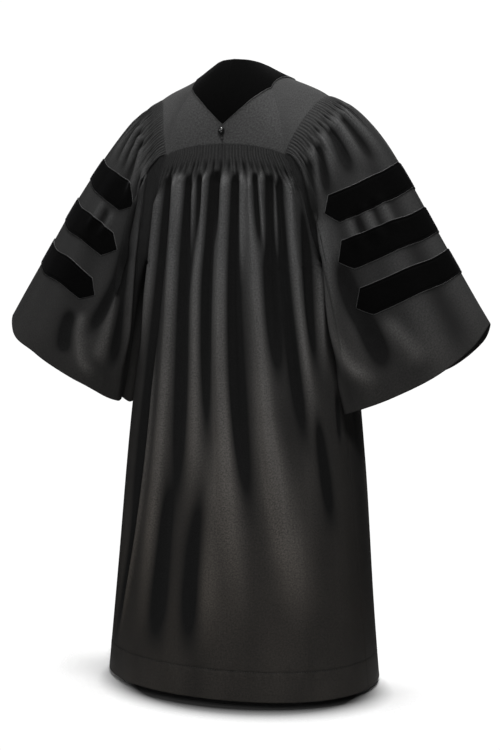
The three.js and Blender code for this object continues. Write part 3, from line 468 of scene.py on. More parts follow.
@dataclass(frozen=True)
class SleeveForm:
    """Plain form of a left sleeve, round the arm from the shoulder (0) by the back to the front (1).

    Attributes:
        yoke: The yoke that its head is sewn to.
        body: The body that its lower part is sewn to.
        hang: How it hangs.
        corner: Place of the yoke's corner.
        underarm: Place of the underarm.
        front_flatter: Depth of its front as a share of its back's.
        front_clear: How far its front's inner hem is moved out.
        gap: How far it starts from the armhole.
        pace_steps: Steps in which its lines are measured.
        yoke_probe: Where on the yoke, out from the neck, its normals are taken.
        panel_probe: Where on the panels, out from the centre, their normals are taken.
        tangent_step: Half the step along the armhole for its direction.
        outer_x: Places of the hem, across, over which the outer corner drops.
        middle_x: Places over which the hem's middle begins to be raised.
        clear_x: Places over which the front is no longer moved out.
        front_x: Places over which the front's inner part is no longer raised.
        front_rise: Share of the round over which that part is raised.
        head: Places over which the head is no longer flattened.
        under_arm: Places over which the hem is raised under the arm.
    """

    yoke: YokeForm
    body: Body
    hang: Hang
    corner: float = 0.32
    underarm: float = 0.5
    front_flatter: float = 0.86
    front_clear: float = 12.0
    gap: float = 0.4
    pace_steps: int = 24
    yoke_probe: float = 0.97
    panel_probe: float = 0.98
    tangent_step: float = 0.006
    outer_x: Range = (450, 549)
    middle_x: Range = (260, 340)
    clear_x: Range = (270, 380)
    front_x: Range = (330, 460)
    front_rise: float = 0.06
    head: Range = (0.1, 0.3)
    under_arm: Range = (0.38, 0.46)

    def _armhole_half(self, face: Face, half: Array) -> tuple[Array, Array, Array]:
        """Armhole's points, ways out of the panel and normals on one face of the body."""
        corner = self.yoke.back_corner if face is Face.BACK else self.yoke.front_corner
        top = float(self.body.seam_height(face, 1.0))

        def around(value: Array) -> Array:
            """Place along the yoke's edge."""
            return mix(self.yoke.shoulder, corner, np.clip(value / self.corner, 0, 1))

        def height(value: Array) -> Array:
            """Height along the panel's armhole edge."""
            past = (value - self.corner) / (self.underarm - self.corner)
            return mix(top, self.body.underarm, np.clip(past, 0, 1))

        def place(value: Array) -> Array:
            """Point of the armhole."""
            on_panel = self.body.point(face, np.ones_like(value), height(value))
            return np.where((value <= self.corner)[..., None], self.yoke.edge(around(value)), on_panel)

        def panel(share: Array, level: Array) -> Array:
            """Point of the panel."""
            return self.body.point(face, share, level)

        yoke_normal = normal_of(self.yoke.point, around(half), np.full_like(half, self.yoke_probe), 1.0)
        panel_normal = normal_of(panel, np.full_like(half, self.panel_probe), height(half), -face.value)
        normal = np.where((half <= self.corner)[..., None], yoke_normal, panel_normal)
        step = self.tangent_step
        tangent = unit(place(np.minimum(half + step, self.underarm)) - place(np.maximum(half - step, 0)))
        return place(half), unit(np.cross(tangent, normal) * face.value), normal

    def armhole(self, around: Array) -> tuple[Array, Array, Array]:
        """The whole armhole.

        Args:
            around: Places round the armhole, from 0 to 1.

        Returns:
            Its points, the ways out of the panel there, and the outward normals.
        """
        back = (around <= self.underarm)[..., None]
        half = np.where(around <= self.underarm, around, 1 - around)
        rear, front = self._armhole_half(Face.BACK, half), self._armhole_half(Face.FRONT, half)
        return tuple(np.where(back, one, other) for one, other in zip(rear, front))

    def paths(self, around: Array) -> tuple[Array, Array, Array, Array]:
        """Ends and handles of the sleeve's lines, from the armhole to the sleeve's hem.

        Args:
            around: Places round the armhole, from 0 to 1.

        Returns:
            Start, its handle, the hem's handle and the hem's point, for each place.
        """
        hang = self.hang
        back = around <= self.underarm
        half = np.where(back, around, 1 - around)
        at = {name: SLEEVE_HALF.read(name, half) for name in SLEEVE_HALF.names.split()}
        centre = SLEEVE_HALF.read("hem_y", 0.0)
        across = at["hem_x"]
        drop = smoothstep(across, *self.outer_x)
        clear = self.front_clear * (1 - smoothstep(across, *self.clear_x))
        lift = smoothstep(across, *self.middle_x) * (1 - drop)
        slump = hang.slump * (1 - smoothstep(half, *self.head))
        inner = smoothstep(self.underarm - half, 0, self.front_rise) * (1 - smoothstep(across, *self.front_x))
        under = hang.under * smoothstep(half, *self.under_arm)
        raised = hang.lift * lift - hang.drop * drop + under + np.where(back, 0.0, hang.front * inner)
        hem = stack(
            across + np.where(back, 0.0, clear),
            np.where(back, at["hem_y"], centre - (at["hem_y"] - centre) * self.front_flatter),
            at["hem_z"] + raised,
        )
        fall = unit(stack(at["fall_x"], np.where(back, 1.0, -1.0) * at["fall_y"], at["fall_z"]))
        point, out, normal = self.armhole(around)
        leaving = unit(
            out * at["straight"][..., None]
            + normal * (at["puff"] - slump)[..., None]
            - np.array([0.0, 0.0, 1.0]) * at["sag"][..., None]
        )
        start = point + leaving * self.gap
        leave = (at["leave"] * (1 - slump / 2))[..., None]
        return start, start + leaving * leave, hem - fall * at["arrive"][..., None], hem

    def grid(self, around: Array, down: Array) -> tuple[Array, Array]:
        """Points of the sleeve's plain form.

        Args:
            around: One place round the armhole for each column.
            down: One share of the sleeve's length for each row.

        Returns:
            The points, and each column's length.
        """
        ends = self.paths(around)
        steps = np.linspace(0, 1, self.pace_steps + 1)[:, None] + 0 * around[None, :]
        trace = cubic(*(end[None] for end in ends), steps)
        spans = np.linalg.norm(np.diff(trace, axis=0), axis=-1)
        lengths = np.concatenate([np.zeros((1, len(around))), np.cumsum(spans, axis=0)])
        wanted = down[:, None] * lengths[-1]
        step = np.sum(wanted[:, None, :] > lengths[None, 1:-1, :], axis=1)
        columns = np.arange(len(around))[None, :]
        before, after = lengths[step, columns], lengths[step + 1, columns]
        share = (step + (wanted - before) / (after - before)) / self.pace_steps
        points = cubic(*(end[None] for end in ends), share)
        away = SLEEVE_CLEARANCE.read("away", down)[:, None] + 0 * around[None, :]
        return self._clear_of_body(points, away), lengths[-1]

    def _clear_of_body(self, points: Array, away: Array) -> Array:
        """Moves points level out of the body until they are clear of it.

        Args:
            points: Points of the sleeve.
            away: How far each is kept from the body.

        Returns:
            The moved points.
        """
        rings = self.body.levels()
        flat, wanted_away = points.reshape(-1, 3), np.maximum(away.reshape(-1), 1e-9)
        level = flat[:, 2] / self.body.level_step
        floor = np.clip(np.floor(level).astype(int), 0, len(rings) - 2)
        share = (level - floor)[:, None, None]
        ring = (rings[floor] * (1 - share) + rings[floor + 1] * share)[..., :2]
        edge = np.diff(ring, axis=1)
        offset = flat[:, None, :2] - ring[:, :-1]
        along = np.clip(np.sum(offset * edge, -1) / np.sum(edge * edge, -1), 0, 1)
        gap = offset - edge * along[..., None]
        distance = np.linalg.norm(gap, axis=-1)
        nearest = np.argmin(distance, axis=1)
        rows = np.arange(len(flat))
        outward = unit(np.stack([-edge[rows, nearest, 1], edge[rows, nearest, 0]], -1))
        side = np.where(np.sum(gap[rows, nearest] * outward, -1) > 0, 1.0, -1.0)
        signed = side * distance[rows, nearest]
        wanted = wanted_away + np.maximum(signed, 0) ** 2 / (4 * wanted_away)
        inside = (np.floor(level) <= len(rings) - 2) & (away.reshape(-1) > 0) & (signed <= 2 * wanted_away)
        moved = flat.copy()
        moved[:, :2] += outward * np.where(inside, wanted - signed, 0.0)[:, None]
        return moved.reshape(points.shape)


@dataclass
class Cloth:
    """A cloth's outer points in rows and columns, with their normals.

    Attributes:
        u: Each column's place, ascending.
        v: Each row's place, ascending.
        points: Outer points, by row and column.
        normals: Outward normals at these points.
        closed: Whether the last column joins the first; not used.
        fold: How far each point stands out of the plain form.
    """

    u: Array
    v: Array
    points: Array
    normals: Array
    closed: bool = False
    fold: Array | None = None

    def at(self, u: Array, v: Array) -> tuple[Array, Array]:
        """Points and normals between the rows and columns.

        Args:
            u: Places along the rows.
            v: Places along the columns.

        Returns:
            Points and unit normals there.
        """
        column = np.clip(np.searchsorted(self.u, u, side="right") - 1, 0, len(self.u) - 2)
        row = np.clip(np.searchsorted(self.v, v, side="right") - 1, 0, len(self.v) - 2)
        s = ((u - self.u[column]) / (self.u[column + 1] - self.u[column]))[..., None]
        t = ((v - self.v[row]) / (self.v[row + 1] - self.v[row]))[..., None]

        def between(grid: Array) -> Array:
            """Values between four neighbours."""
            upper = mix(grid[row, column], grid[row, column + 1], s)
            lower = mix(grid[row + 1, column], grid[row + 1, column + 1], s)
            return mix(upper, lower, t)

        return between(self.points), unit(between(self.normals))


def grid_normals(points: Array, closed: bool, sign: float) -> Array:
    """Normals of a grid of points from its neighbours.

    Args:
        points: Points by row and column.
        closed: Whether the last column joins the first.
        sign: Turns the normals to the outside.

    Returns:
        Unit normals.
    """
    if closed:
        across = np.roll(points, -1, axis=1) - np.roll(points, 1, axis=1)
    else:
        across = np.gradient(points, axis=1)
    return unit(np.cross(across, np.gradient(points, axis=0))) * sign


@dataclass(frozen=True)
class Crease:
    """A ridge or hollow along a line on a cloth, worked out only near that line.

    Attributes:
        line: Points of the line, in the cloth's own two coordinates.
        rise: How far it stands out; a hollow is negative.
        width: Its half width where it starts.
        widen: How many times as wide it is where it ends.
        fade_in: Share of its length over which it rises.
        fade_out: Share of its length over which it dies away.
    """

    line: tuple[tuple[float, float], ...]
    rise: float
    width: float
    widen: float = 1.0
    fade_in: float = 0.12
    fade_out: float = 0.4
    pieces: ClassVar[int] = 5
    reach: ClassVar[float] = 3.2
    stride: ClassVar[int] = 4

    def smooth_line(self) -> tuple[Array, Array]:
        """The line with soft bends, as its two coordinates."""
        table = Table("at u v", tuple((float(k), *knot) for k, knot in enumerate(self.line)))
        bends = len(self.line) - 1
        fine = np.linspace(0, bends, self.pieces * bends + 1)
        return table.read("u", fine), table.read("v", fine)

    def rise_at(self, places: Array, line: Array) -> Array:
        """How far the crease stands out at each place.

        Args:
            places: Points of the cloth's plain form, in a list.
            line: The crease's own points on that form.

        Returns:
            The rise at each place.
        """
        edge = np.diff(line, axis=0)
        spans = np.linalg.norm(edge, axis=-1)
        reached = np.concatenate([[0], np.cumsum(spans)]) / spans.sum()
        reach = self.reach * self.width * max(self.widen, 1) + np.max(spans) * self.stride
        to_line = np.linalg.norm(places[:, None, :] - line[None, :: self.stride], axis=-1)
        near = np.min(to_line, axis=1) < reach
        rise = np.zeros(len(places))
        offset = places[near, None, :] - line[None, :-1]
        along = np.clip(np.sum(offset * edge, -1) / np.sum(edge * edge, -1), 0, 1)
        distance = np.linalg.norm(offset - edge * along[..., None], axis=-1)
        nearest = np.argmin(distance, axis=1)
        rows = np.arange(len(nearest))
        along = mix(reached[nearest], reached[nearest + 1], along[rows, nearest])
        fade = smoothstep(along, 0, self.fade_in) * (1 - smoothstep(along, 1 - self.fade_out, 1))
        width = self.width * mix(1.0, self.widen, along)
        rise[near] = self.rise * fade * bump(distance[rows, nearest], width)
        return rise


def creased(base: Array, creases: Sequence[Crease], place: Surface) -> Array:
    """Rise of all the creases of a cloth.

    Args:
        base: Points of the cloth's plain form, by row and column.
        creases: The creases.
        place: Gives points of the plain form from a crease's two coordinates.

    Returns:
        The rise at each point.
    """
    places = base.reshape(-1, 3)
    total = np.zeros(len(places))
    for crease in creases:
        total += crease.rise_at(places, place(*crease.smooth_line()))
    return total.reshape(base.shape[:2])


@dataclass(frozen=True)
class Gathers:
    """Flutes held by rows of thread below a seam, and the pinches in which they are let go.

    Attributes:
        flutes: Number of flutes along the seam.
        seed: Seed for their small differences.
        height: How far a flute stands out.
        band: Depth of the held band.
        pinch_depth: Depth of the deepest pinch.
        let_go: How far the longest pinch reaches below the band.
        pinch_steps: Least and greatest distance between two pinches, in flutes.
        puff: How far the cloth swells where it is let go.
    """

    flutes: int
    seed: int
    height: float = 1.35
    band: float = 42.0
    pinch_depth: float = 5.0
    let_go: float = 75.0
    pinch_steps: Range = (1.35, 2.5)
    puff: float = 1.4

    def rise(self, phase: Array, below: Array) -> Array:
        """How far the gathered cloth stands out.

        Args:
            phase: Place along the seam, in flutes.
            below: Distance below the seam.

        Returns:
            The rise there.
        """
        rng = np.random.default_rng(self.seed)
        numbers = np.arange(self.flutes + 1)
        size = np.interp(phase, numbers, rng.uniform(0.72, 1.2, self.flutes + 1))
        wander = np.interp(phase, numbers, rng.uniform(-0.16, 0.16, self.flutes + 1))
        reach = np.interp(phase, numbers, rng.uniform(4, 26, self.flutes + 1))
        wave = 2 * np.abs(np.sin(np.pi * (phase + wander))) ** 0.75 - 1
        eased = mix(0.5, 1.0, smoothstep(below, 0, 9))
        held = eased * (1 - smoothstep(below - reach, self.band - 10, self.band + 6))
        ends = smoothstep(phase, 0, 1) * (1 - smoothstep(phase, self.flutes - 1, self.flutes))
        rise = self.height * size * wave * held
        place = rng.uniform(0.6, 1.1)
        while place < self.flutes - 0.5:
            depth = self.pinch_depth * rng.uniform(0.45, 1.0)
            length = self.let_go * rng.uniform(0.3, 1.0)
            past = np.maximum(below - self.band, 0)
            reached = smoothstep(below, self.band - 16, self.band + 5) * bump(past, length)
            width = rng.uniform(0.34, 0.52) * mix(1.0, 0.75, np.clip(past / length, 0, 1))
            rise = rise - depth * reached * bump(phase - place, width)
            place += rng.uniform(*self.pinch_steps)
        swell = smoothstep(below, self.band - 4, self.band + 14)
        puff = self.puff * swell * bump(np.maximum(below - self.band - 14, 0), 40)
        return (rise + puff) * ends


def soft_waves(u: Array, v: Array, seed: int, length: float, height: float) -> Array:
    """Low uneven waves, as cloth has that isn't pressed.

    Args:
        u: First coordinate, in millimetres.
        v: Second coordinate, in millimetres.
        seed: Seed for the waves.
        length: Typical distance between two waves.
        height: How far they stand out.

    Returns:
        The rise at each place.
    """
    rng = np.random.default_rng(seed)
    rise = 0.0
    count = 7
    for _ in range(count):
        heading = rng.uniform(-0.5, 0.5)
        span = length * rng.uniform(0.7, 1.6)
        along = u * math.cos(heading) + 0.35 * v * math.sin(heading)
        rise = rise + np.sin(2 * np.pi * along / span + rng.uniform(0, 2 * np.pi))
    return height * rise / math.sqrt(count)


class Mesher:
    """Makes Blender objects from grids of points."""

    @staticmethod
    def cloth_places(points: Array, closed: bool) -> Array:
        """Places on the flat cloth, in metres, for patterns that follow it.

        Args:
            points: Outer points by row and column.
            closed: Whether the last column joins the first.

        Returns:
            Two coordinates for each point, with one column more on a closed cloth.
        """
        whole = np.concatenate([points, points[:, :1]], axis=1) if closed else points
        across = np.linalg.norm(np.diff(whole, axis=1), axis=-1)
        u = np.concatenate([np.zeros((len(whole), 1)), np.cumsum(across, axis=1)], axis=1)
        u = u - u[:, u.shape[1] // 2 : u.shape[1] // 2 + 1]
        down = np.linalg.norm(np.diff(whole, axis=0), axis=-1)
        v = -np.concatenate([np.zeros((1, whole.shape[1])), np.cumsum(down, axis=0)])
        return np.stack([u, v], -1) * METRES

    @staticmethod
    def borders(rows: int, columns: int, closed: bool) -> list[Array]:
        """Border loops of a grid, as rows of row, column, inner row and inner column.

        Args:
            rows: Number of rows.
            columns: Number of columns.
            closed: Whether the last column joins the first.

        Returns:
            One closed loop for an open grid, two for a closed one.
        """
        last_row, last_column = rows - 1, columns - 1
        if closed:
            across = list(range(columns)) + [columns]
            top = [(0, c, 1, c) for c in across]
            bottom = [(last_row, c, last_row - 1, c) for c in reversed(across)]
            return [np.array(top), np.array(bottom)]
        loop = [(0, c, 1, min(max(c, 1), last_column - 1)) for c in range(columns)]
        loop += [(r, last_column, min(r, last_row - 1), last_column - 1) for r in range(1, rows)]
        loop += [(last_row, c, last_row - 1, max(c, 1)) for c in range(last_column - 1, -1, -1)]
        loop += [(r, 0, r, 1) for r in range(last_row - 1, -1, -1)]
        return [np.array(loop)]

    @classmethod
    def wall(
        cls,
        name: str,
        outer: Array,
        inner: Array,
        closed: bool = False,
        bulge: float = 0.9,
        fold: Array | None = None,
    ) -> bpy.types.Object:
        """Closed cloth wall with a rounded border.

        Args:
            name: The piece's name.
            outer: Outer points by row and column, in millimetres.
            inner: Inner points in the same order.
            closed: Whether the last column joins the first.
            bulge: How round the border is.
            fold: How far each outer point stands out of the plain form, from which the finish paints shade in
                the hollows.

        Returns:
            The new object, at the origin.
        """
        rows, columns = outer.shape[:2]
        count = rows * columns
        places = cls.cloth_places(outer, closed)
        wide = places.shape[1]
        r, c = np.meshgrid(np.arange(rows - 1), np.arange(wide - 1), indexing="ij")

        def corners(width: int) -> Array:
            """Four corners of each face of the grid, for rows of that width."""
            here, there = c % width, (c + 1) % width
            quad = [r * width + here, (r + 1) * width + here, (r + 1) * width + there, r * width + there]
            return np.stack(quad, -1).reshape(-1, 4)

        faces, face_places = [corners(columns)], [corners(wide)]
        faces.append(faces[0][:, ::-1] + count)
        face_places.append(face_places[0][:, ::-1])
        points = [outer.reshape(-1, 3), inner.reshape(-1, 3)]
        made = 2 * count
        for loop in cls.borders(rows, columns, closed):
            row, column, inner_row, inner_column = loop.T
            number = row * columns + column % columns
            place = row * wide + column
            away = unit(outer[row, column % columns] - outer[inner_row, inner_column % columns])
            middle = (points[0][number] + points[1][number]) / 2
            thick = np.linalg.norm(points[0][number] - points[1][number], axis=-1, keepdims=True)
            middle = middle + away * thick * bulge / 2
            size = len(loop) - 1 if closed else len(loop)
            points.append(middle[:size])
            k = np.arange(size)
            after = (k + 1) % len(loop) if closed else (k + 1) % size
            ring, ring_after = made + k, made + (k + 1) % size
            faces.append(np.stack([number[k], number[after], ring_after, ring], -1))
            faces.append(np.stack([ring, ring_after, number[after] + count, number[k] + count], -1))
            rim_places = np.stack([place[k], place[after], place[after], place[k]], -1)
            face_places += [rim_places, rim_places]
            made += size
        vertices = np.concatenate(points)
        quads, quad_places = np.concatenate(faces), np.concatenate(face_places)
        first = vertices[faces[0]]
        facing = np.cross(first[:, 2] - first[:, 0], first[:, 3] - first[:, 1])
        if np.sum(facing * (points[0][faces[0][:, 0]] - points[1][faces[0][:, 0]])) < 0:
            quads, quad_places = quads[:, ::-1], quad_places[:, ::-1]
        piece = cls.solid(name, to_frame(vertices), quads, places.reshape(-1, 2)[quad_places])
        # The fold values go into a point attribute, from which the twill paints shade in the hollows.
        if fold is not None:
            values = np.zeros(len(vertices), np.float32)
            values[:count] = fold.ravel()
            values[count : 2 * count] = fold.ravel()
            piece.data.attributes.new("fold", "FLOAT", "POINT").data.foreach_set("value", values)
        return piece

    @staticmethod
    def solid(name: str, vertices: Array, quads: Array, places: Array | None = None) -> bpy.types.Object:
        """Object from points and four-sided faces.

        Args:
            name: The piece's name.
            vertices: Points in the frame's metres.
            quads: Four numbers of points for each face.
            places: Two cloth coordinates for each face's corners.

        Returns:
            The new object, linked to the scene.
        """
        mesh = bpy.data.meshes.new(name)
        mesh.vertices.add(len(vertices))
        mesh.vertices.foreach_set("co", np.ascontiguousarray(vertices, np.float32).ravel())
        mesh.loops.add(quads.size)
        mesh.loops.foreach_set("vertex_index", np.ascontiguousarray(quads, np.int32).ravel())
        mesh.polygons.add(len(quads))
        mesh.polygons.foreach_set("loop_start", np.arange(0, quads.size, 4, dtype=np.int32))
        mesh.update(calc_edges=True)
        mesh.polygons.foreach_set("use_smooth", np.ones(len(quads), bool))
        if places is not None:
            layer = mesh.uv_layers.new(name="cloth")
            layer.data.foreach_set("uv", np.ascontiguousarray(places, np.float32).ravel())
        mesh.update()
        made = bpy.data.objects.new(name, mesh)
        bpy.context.scene.collection.objects.link(made)
        return made

    @staticmethod
    def path(name: str, lines: Sequence[Array]) -> bpy.types.Object:
        """Object of plain edges along lines, for Geometry Nodes to follow.

        Args:
            name: The object's name.
            lines: Points of each line, in millimetres.

        Returns:
            The new object.
        """
        vertices, edges = [], []
        for line in lines:
            first = len(vertices)
            vertices += [tuple(point) for point in to_frame(line)]
            edges += [(first + k, first + k + 1) for k in range(len(line) - 1)]
        mesh = bpy.data.meshes.new(name)
        mesh.from_pydata(vertices, edges, [])
        made = bpy.data.objects.new(name, mesh)
        bpy.context.scene.collection.objects.link(made)
        return made


class Graph:
    """Adds linked nodes to a node tree in a few words each."""

    def __init__(self, tree: bpy.types.NodeTree) -> None:
        """Keeps the tree."""
        self.tree = tree

    def put(self, socket: bpy.types.NodeSocket, value: object) -> None:
        """Links a socket to another one, or sets its own value."""
        if isinstance(value, bpy.types.NodeSocket):
            self.tree.links.new(value, socket)
        elif value is not None:
            socket.default_value = value

    def node(
        self, kind: str, inputs: dict[int | str, object] | None = None, **settings: object
    ) -> bpy.types.Node:
        """Adds a node.

        Args:
            kind: Blender's name for the node's type.
            inputs: Values or sockets for its inputs, by name or number.
            settings: Its properties.

        Returns:
            The node.
        """
        made = self.tree.nodes.new(kind)
        for name, value in settings.items():
            setattr(made, name, value)
        for name, value in (inputs or {}).items():
            self.put(made.inputs[name], value)
        return made

    def math(self, operation: str, *values: object) -> bpy.types.NodeSocket:
        """Result of a Math node."""
        return self.node("ShaderNodeMath", dict(enumerate(values)), operation=operation).outputs[0]

    def vector(self, operation: str, *values: object) -> bpy.types.Node:
        """Vector Math node."""
        return self.node("ShaderNodeVectorMath", dict(enumerate(values)), operation=operation)

    def noise(
        self, vector: object, scale: object, detail: float = 2.0, roughness: float = 0.5
    ) -> bpy.types.NodeSocket:
        """Height of a Noise Texture node."""
        inputs = {"Vector": vector, "Scale": scale, "Detail": detail, "Roughness": roughness}
        return self.node("ShaderNodeTexNoise", inputs).outputs[0]

    def span(
        self, value: object, low: float, high: float, to_low: float = 0.0, to_high: float = 1.0
    ) -> bpy.types.NodeSocket:
        """Value moved from one range to another, held at its ends."""
        inputs = {0: value, 1: low, 2: high, 3: to_low, 4: to_high}
        return self.node("ShaderNodeMapRange", inputs, clamp=True).outputs[0]

    def blend(self, share: object, low: object, high: object) -> bpy.types.NodeSocket:
        """Colour between two others."""
        made = self.node("ShaderNodeMix", data_type="RGBA")
        for name, value in (("Factor_Float", share), ("A_Color", low), ("B_Color", high)):
            self.put(next(socket for socket in made.inputs if socket.identifier == name), value)
        return next(socket for socket in made.outputs if socket.identifier == "Result_Color")


def shader_group(
    name: str, inputs: dict[str, float], outputs: Sequence[str]
) -> tuple[bpy.types.NodeTree, Graph, dict]:
    """New shader node group with float sockets and one vector input.

    Args:
        name: The group's name.
        inputs: Names and first values of its float inputs.
        outputs: Names of its float outputs.

    Returns:
        The group, its graph and the sockets of its inputs by name.
    """
    group = bpy.data.node_groups.new(name, "ShaderNodeTree")
    group.interface.new_socket("Vector", in_out="INPUT", socket_type="NodeSocketVector")
    for label, value in inputs.items():
        socket = group.interface.new_socket(label, in_out="INPUT", socket_type="NodeSocketFloat")
        socket.default_value = value
    for label in outputs:
        group.interface.new_socket(label, in_out="OUTPUT", socket_type="NodeSocketFloat")
    graph = Graph(group)
    entry = graph.node("NodeGroupInput")
    return group, graph, {socket.name: socket for socket in entry.outputs if socket.name}


class Effects:
    """Shader node groups that several finishes share, each built once."""

    def __init__(self) -> None:
        """Builds the groups."""
        self.twill = self._twill()
        self.drift = self._drift()

    @staticmethod
    def _twill() -> bpy.types.NodeTree:
        """Diagonal twill lines with uneven threads."""
        first = {"Pitch": 0.0012, "Uneven": 0.5}
        group, graph, given = shader_group("twill_weave", first, ("Height", "Fleck"))
        parts = graph.node("ShaderNodeSeparateXYZ", {0: given["Vector"]})
        turns = graph.math("DIVIDE", 2 * math.pi, given["Pitch"])
        slant = graph.math("ADD", parts.outputs[0], graph.math("MULTIPLY", parts.outputs[1], 0.62))
        ridge = graph.math("SINE", graph.math("MULTIPLY", slant, turns))
        across = graph.math("SUBTRACT", parts.outputs[0], parts.outputs[1])
        fill = graph.math("SINE", graph.math("MULTIPLY", across, turns))
        weave = graph.math("MULTIPLY_ADD", ridge, 0.36, graph.math("MULTIPLY_ADD", fill, 0.1, 0.5))
        fine = graph.math("DIVIDE", 0.45, given["Pitch"])
        fleck = graph.noise(given["Vector"], fine, 3.0, 0.65)
        rough = graph.math("MULTIPLY", graph.math("SUBTRACT", fleck, 0.5), given["Uneven"])
        height = graph.math("ADD", weave, rough)
        graph.node("NodeGroupOutput", {"Height": height, "Fleck": fleck})
        return group

    @staticmethod
    def _drift() -> bpy.types.NodeTree:
        """Slow drift of tone over a cloth, and the slight wear of its nap."""
        group, graph, given = shader_group("tone_drift", {"Scale": 6.0}, ("Broad", "Small"))
        broad = graph.noise(given["Vector"], given["Scale"], 2.0, 0.5)
        small = graph.noise(given["Vector"], graph.math("MULTIPLY", given["Scale"], 9.0), 3.0, 0.6)
        tones = {"Broad": graph.span(broad, 0.3, 0.7), "Small": graph.span(small, 0.3, 0.7)}
        graph.node("NodeGroupOutput", tones)
        return group


Colour = tuple[float, float, float, float]


def grey(value: float, warm: float = 0.0) -> Colour:
    """Near-grey colour; warm moves it from blue towards brown."""
    return (value * (1 + warm), value, value * (1 - warm), 1.0)


class Finish:
    """Base of the finishes: opens a material and gives its graph."""

    name = "finish"

    def open(self) -> tuple[bpy.types.Material, Graph, bpy.types.Node]:
        """New material with its graph and its Principled shader."""
        material = bpy.data.materials.new(self.name)
        material.use_nodes = True
        shader = material.node_tree.nodes["Principled BSDF"]
        return material, Graph(material.node_tree), shader

    @staticmethod
    def effect(graph: Graph, group: bpy.types.NodeTree, vector: object, **values: float) -> bpy.types.Node:
        """Uses a shared group on a vector, with its own values."""
        made = graph.node("ShaderNodeGroup", node_tree=group)
        graph.put(made.inputs["Vector"], vector)
        for name, value in values.items():
            made.inputs[name].default_value = value
        return made

    @staticmethod
    def bump(graph: Graph, shader: bpy.types.Node, height: object, distance: float, strength: float) -> None:
        """Feeds a height to the shader's normal."""
        made = graph.node("ShaderNodeBump", {"Height": height, "Distance": distance, "Strength": strength})
        graph.put(shader.inputs["Normal"], made.outputs[0])


@dataclass(frozen=True)
class SatinTwill(Finish):
    """Lustrous black twill of the panels, with painted shade in its fold hollows and painted warm light
    towards the hem.
    """

    name: str = "satin_twill"
    dark: float = 0.018
    light: float = 0.115
    # Strength of the painted warm light towards the hem.
    warm: float = 0.05
    roughness: float = 0.46
    specular: float = 0.26
    sheen: float = 0.01
    pitch: float = 0.0017
    uneven: float = 0.9
    drift_scale: float = 6.0
    # Fold rises between which the painted shade goes from full to none.
    hollow: float = -2.8
    crest: float = 8.0

    def make(self, effects: Effects) -> bpy.types.Material:
        """Builds the material.

        Args:
            effects: The shared node groups.

        Returns:
            The material.
        """
        material, graph, shader = self.open()
        cloth = graph.node("ShaderNodeUVMap", uv_map="cloth").outputs[0]
        place = graph.node("ShaderNodeTexCoord").outputs["Object"]
        weave = self.effect(graph, effects.twill, cloth, Pitch=self.pitch, Uneven=self.uneven)
        drift = self.effect(graph, effects.drift, place, Scale=self.drift_scale)
        fleck = graph.span(weave.outputs["Fleck"], 0.36, 0.66)
        thread = graph.math("MULTIPLY_ADD", weave.outputs["Height"], 0.3, graph.math("MULTIPLY", fleck, 0.5))
        tone = graph.math("MULTIPLY_ADD", drift.outputs["Broad"], 0.2, thread)
        cloth_colour = graph.blend(tone, grey(self.dark), grey(self.light))
        # Painted warm light: the colour turns warmer towards the hem, standing in for warm light falling
        # there.
        low = graph.node("ShaderNodeSeparateXYZ", {0: place}).outputs[2]
        painted_warm_light_share = graph.span(low, -0.35, -1.15)
        painted_warm_light_colour = graph.blend(tone, grey(self.dark, 2 * self.warm), grey(self.light, 3 * self.warm))
        open_colour = graph.blend(painted_warm_light_share, cloth_colour, painted_warm_light_colour)
        # Painted shade: from the fold attribute, lit runs from 0 in the fold hollows, where the base colour
        # goes to near black, to 1 on the crests, where it keeps the cloth's colour. A piece with no fold
        # attribute, such as the yoke, is painted dark by a constant share.
        fold = graph.node("ShaderNodeAttribute", attribute_name="fold").outputs["Fac"]
        lit = graph.span(fold, self.hollow, self.crest)
        graph.put(shader.inputs["Base Color"], graph.blend(lit, grey(0.08 * self.dark), open_colour))
        uneven = graph.math("MULTIPLY_ADD", fleck, 0.12, self.roughness + 0.34)
        worn = graph.math("MULTIPLY_ADD", drift.outputs["Small"], 0.05, uneven)
        graph.put(shader.inputs["Roughness"], graph.math("MULTIPLY_ADD", lit, -0.42, worn))
        shader.inputs["Specular IOR Level"].default_value = self.specular
        shader.inputs["Sheen Weight"].default_value = self.sheen
        shader.inputs["Sheen Roughness"].default_value = 0.45
        self.bump(graph, shader, weave.outputs["Height"], 0.0006, 0.8)
        return material


@dataclass(frozen=True)
class Velvet(Finish):
    """Black cotton velvet of the neck, the facings and the bars."""

    name: str = "black_velvet"
    dark: float = 0.0006
    light: float = 0.002
    roughness: float = 0.95
    sheen: float = 0.05

    def make(self, effects: Effects) -> bpy.types.Material:
        """Builds the material.

        Args:
            effects: The shared node groups.

        Returns:
            The material.
        """
        material, graph, shader = self.open()
        cloth = graph.node("ShaderNodeUVMap", uv_map="cloth").outputs[0]
        place = graph.node("ShaderNodeTexCoord").outputs["Object"]
        drift = self.effect(graph, effects.drift, place, Scale=14.0)
        nap = graph.noise(cloth, 2600.0, 3.0, 0.7)
        brushed = graph.math("MULTIPLY_ADD", drift.outputs["Small"], 0.5, graph.math("MULTIPLY", nap, 0.5))
        graph.put(shader.inputs["Base Color"], graph.blend(brushed, grey(self.dark), grey(self.light)))
        graph.put(shader.inputs["Roughness"], graph.math("MULTIPLY_ADD", brushed, 0.1, self.roughness - 0.05))
        shader.inputs["Specular IOR Level"].default_value = 0.04
        shader.inputs["Sheen Weight"].default_value = self.sheen
        shader.inputs["Sheen Roughness"].default_value = 0.32
        shader.inputs["Sheen Tint"].default_value = (0.75, 0.75, 0.8, 1.0)
        self.bump(graph, shader, nap, 0.0004, 0.6)
        return material


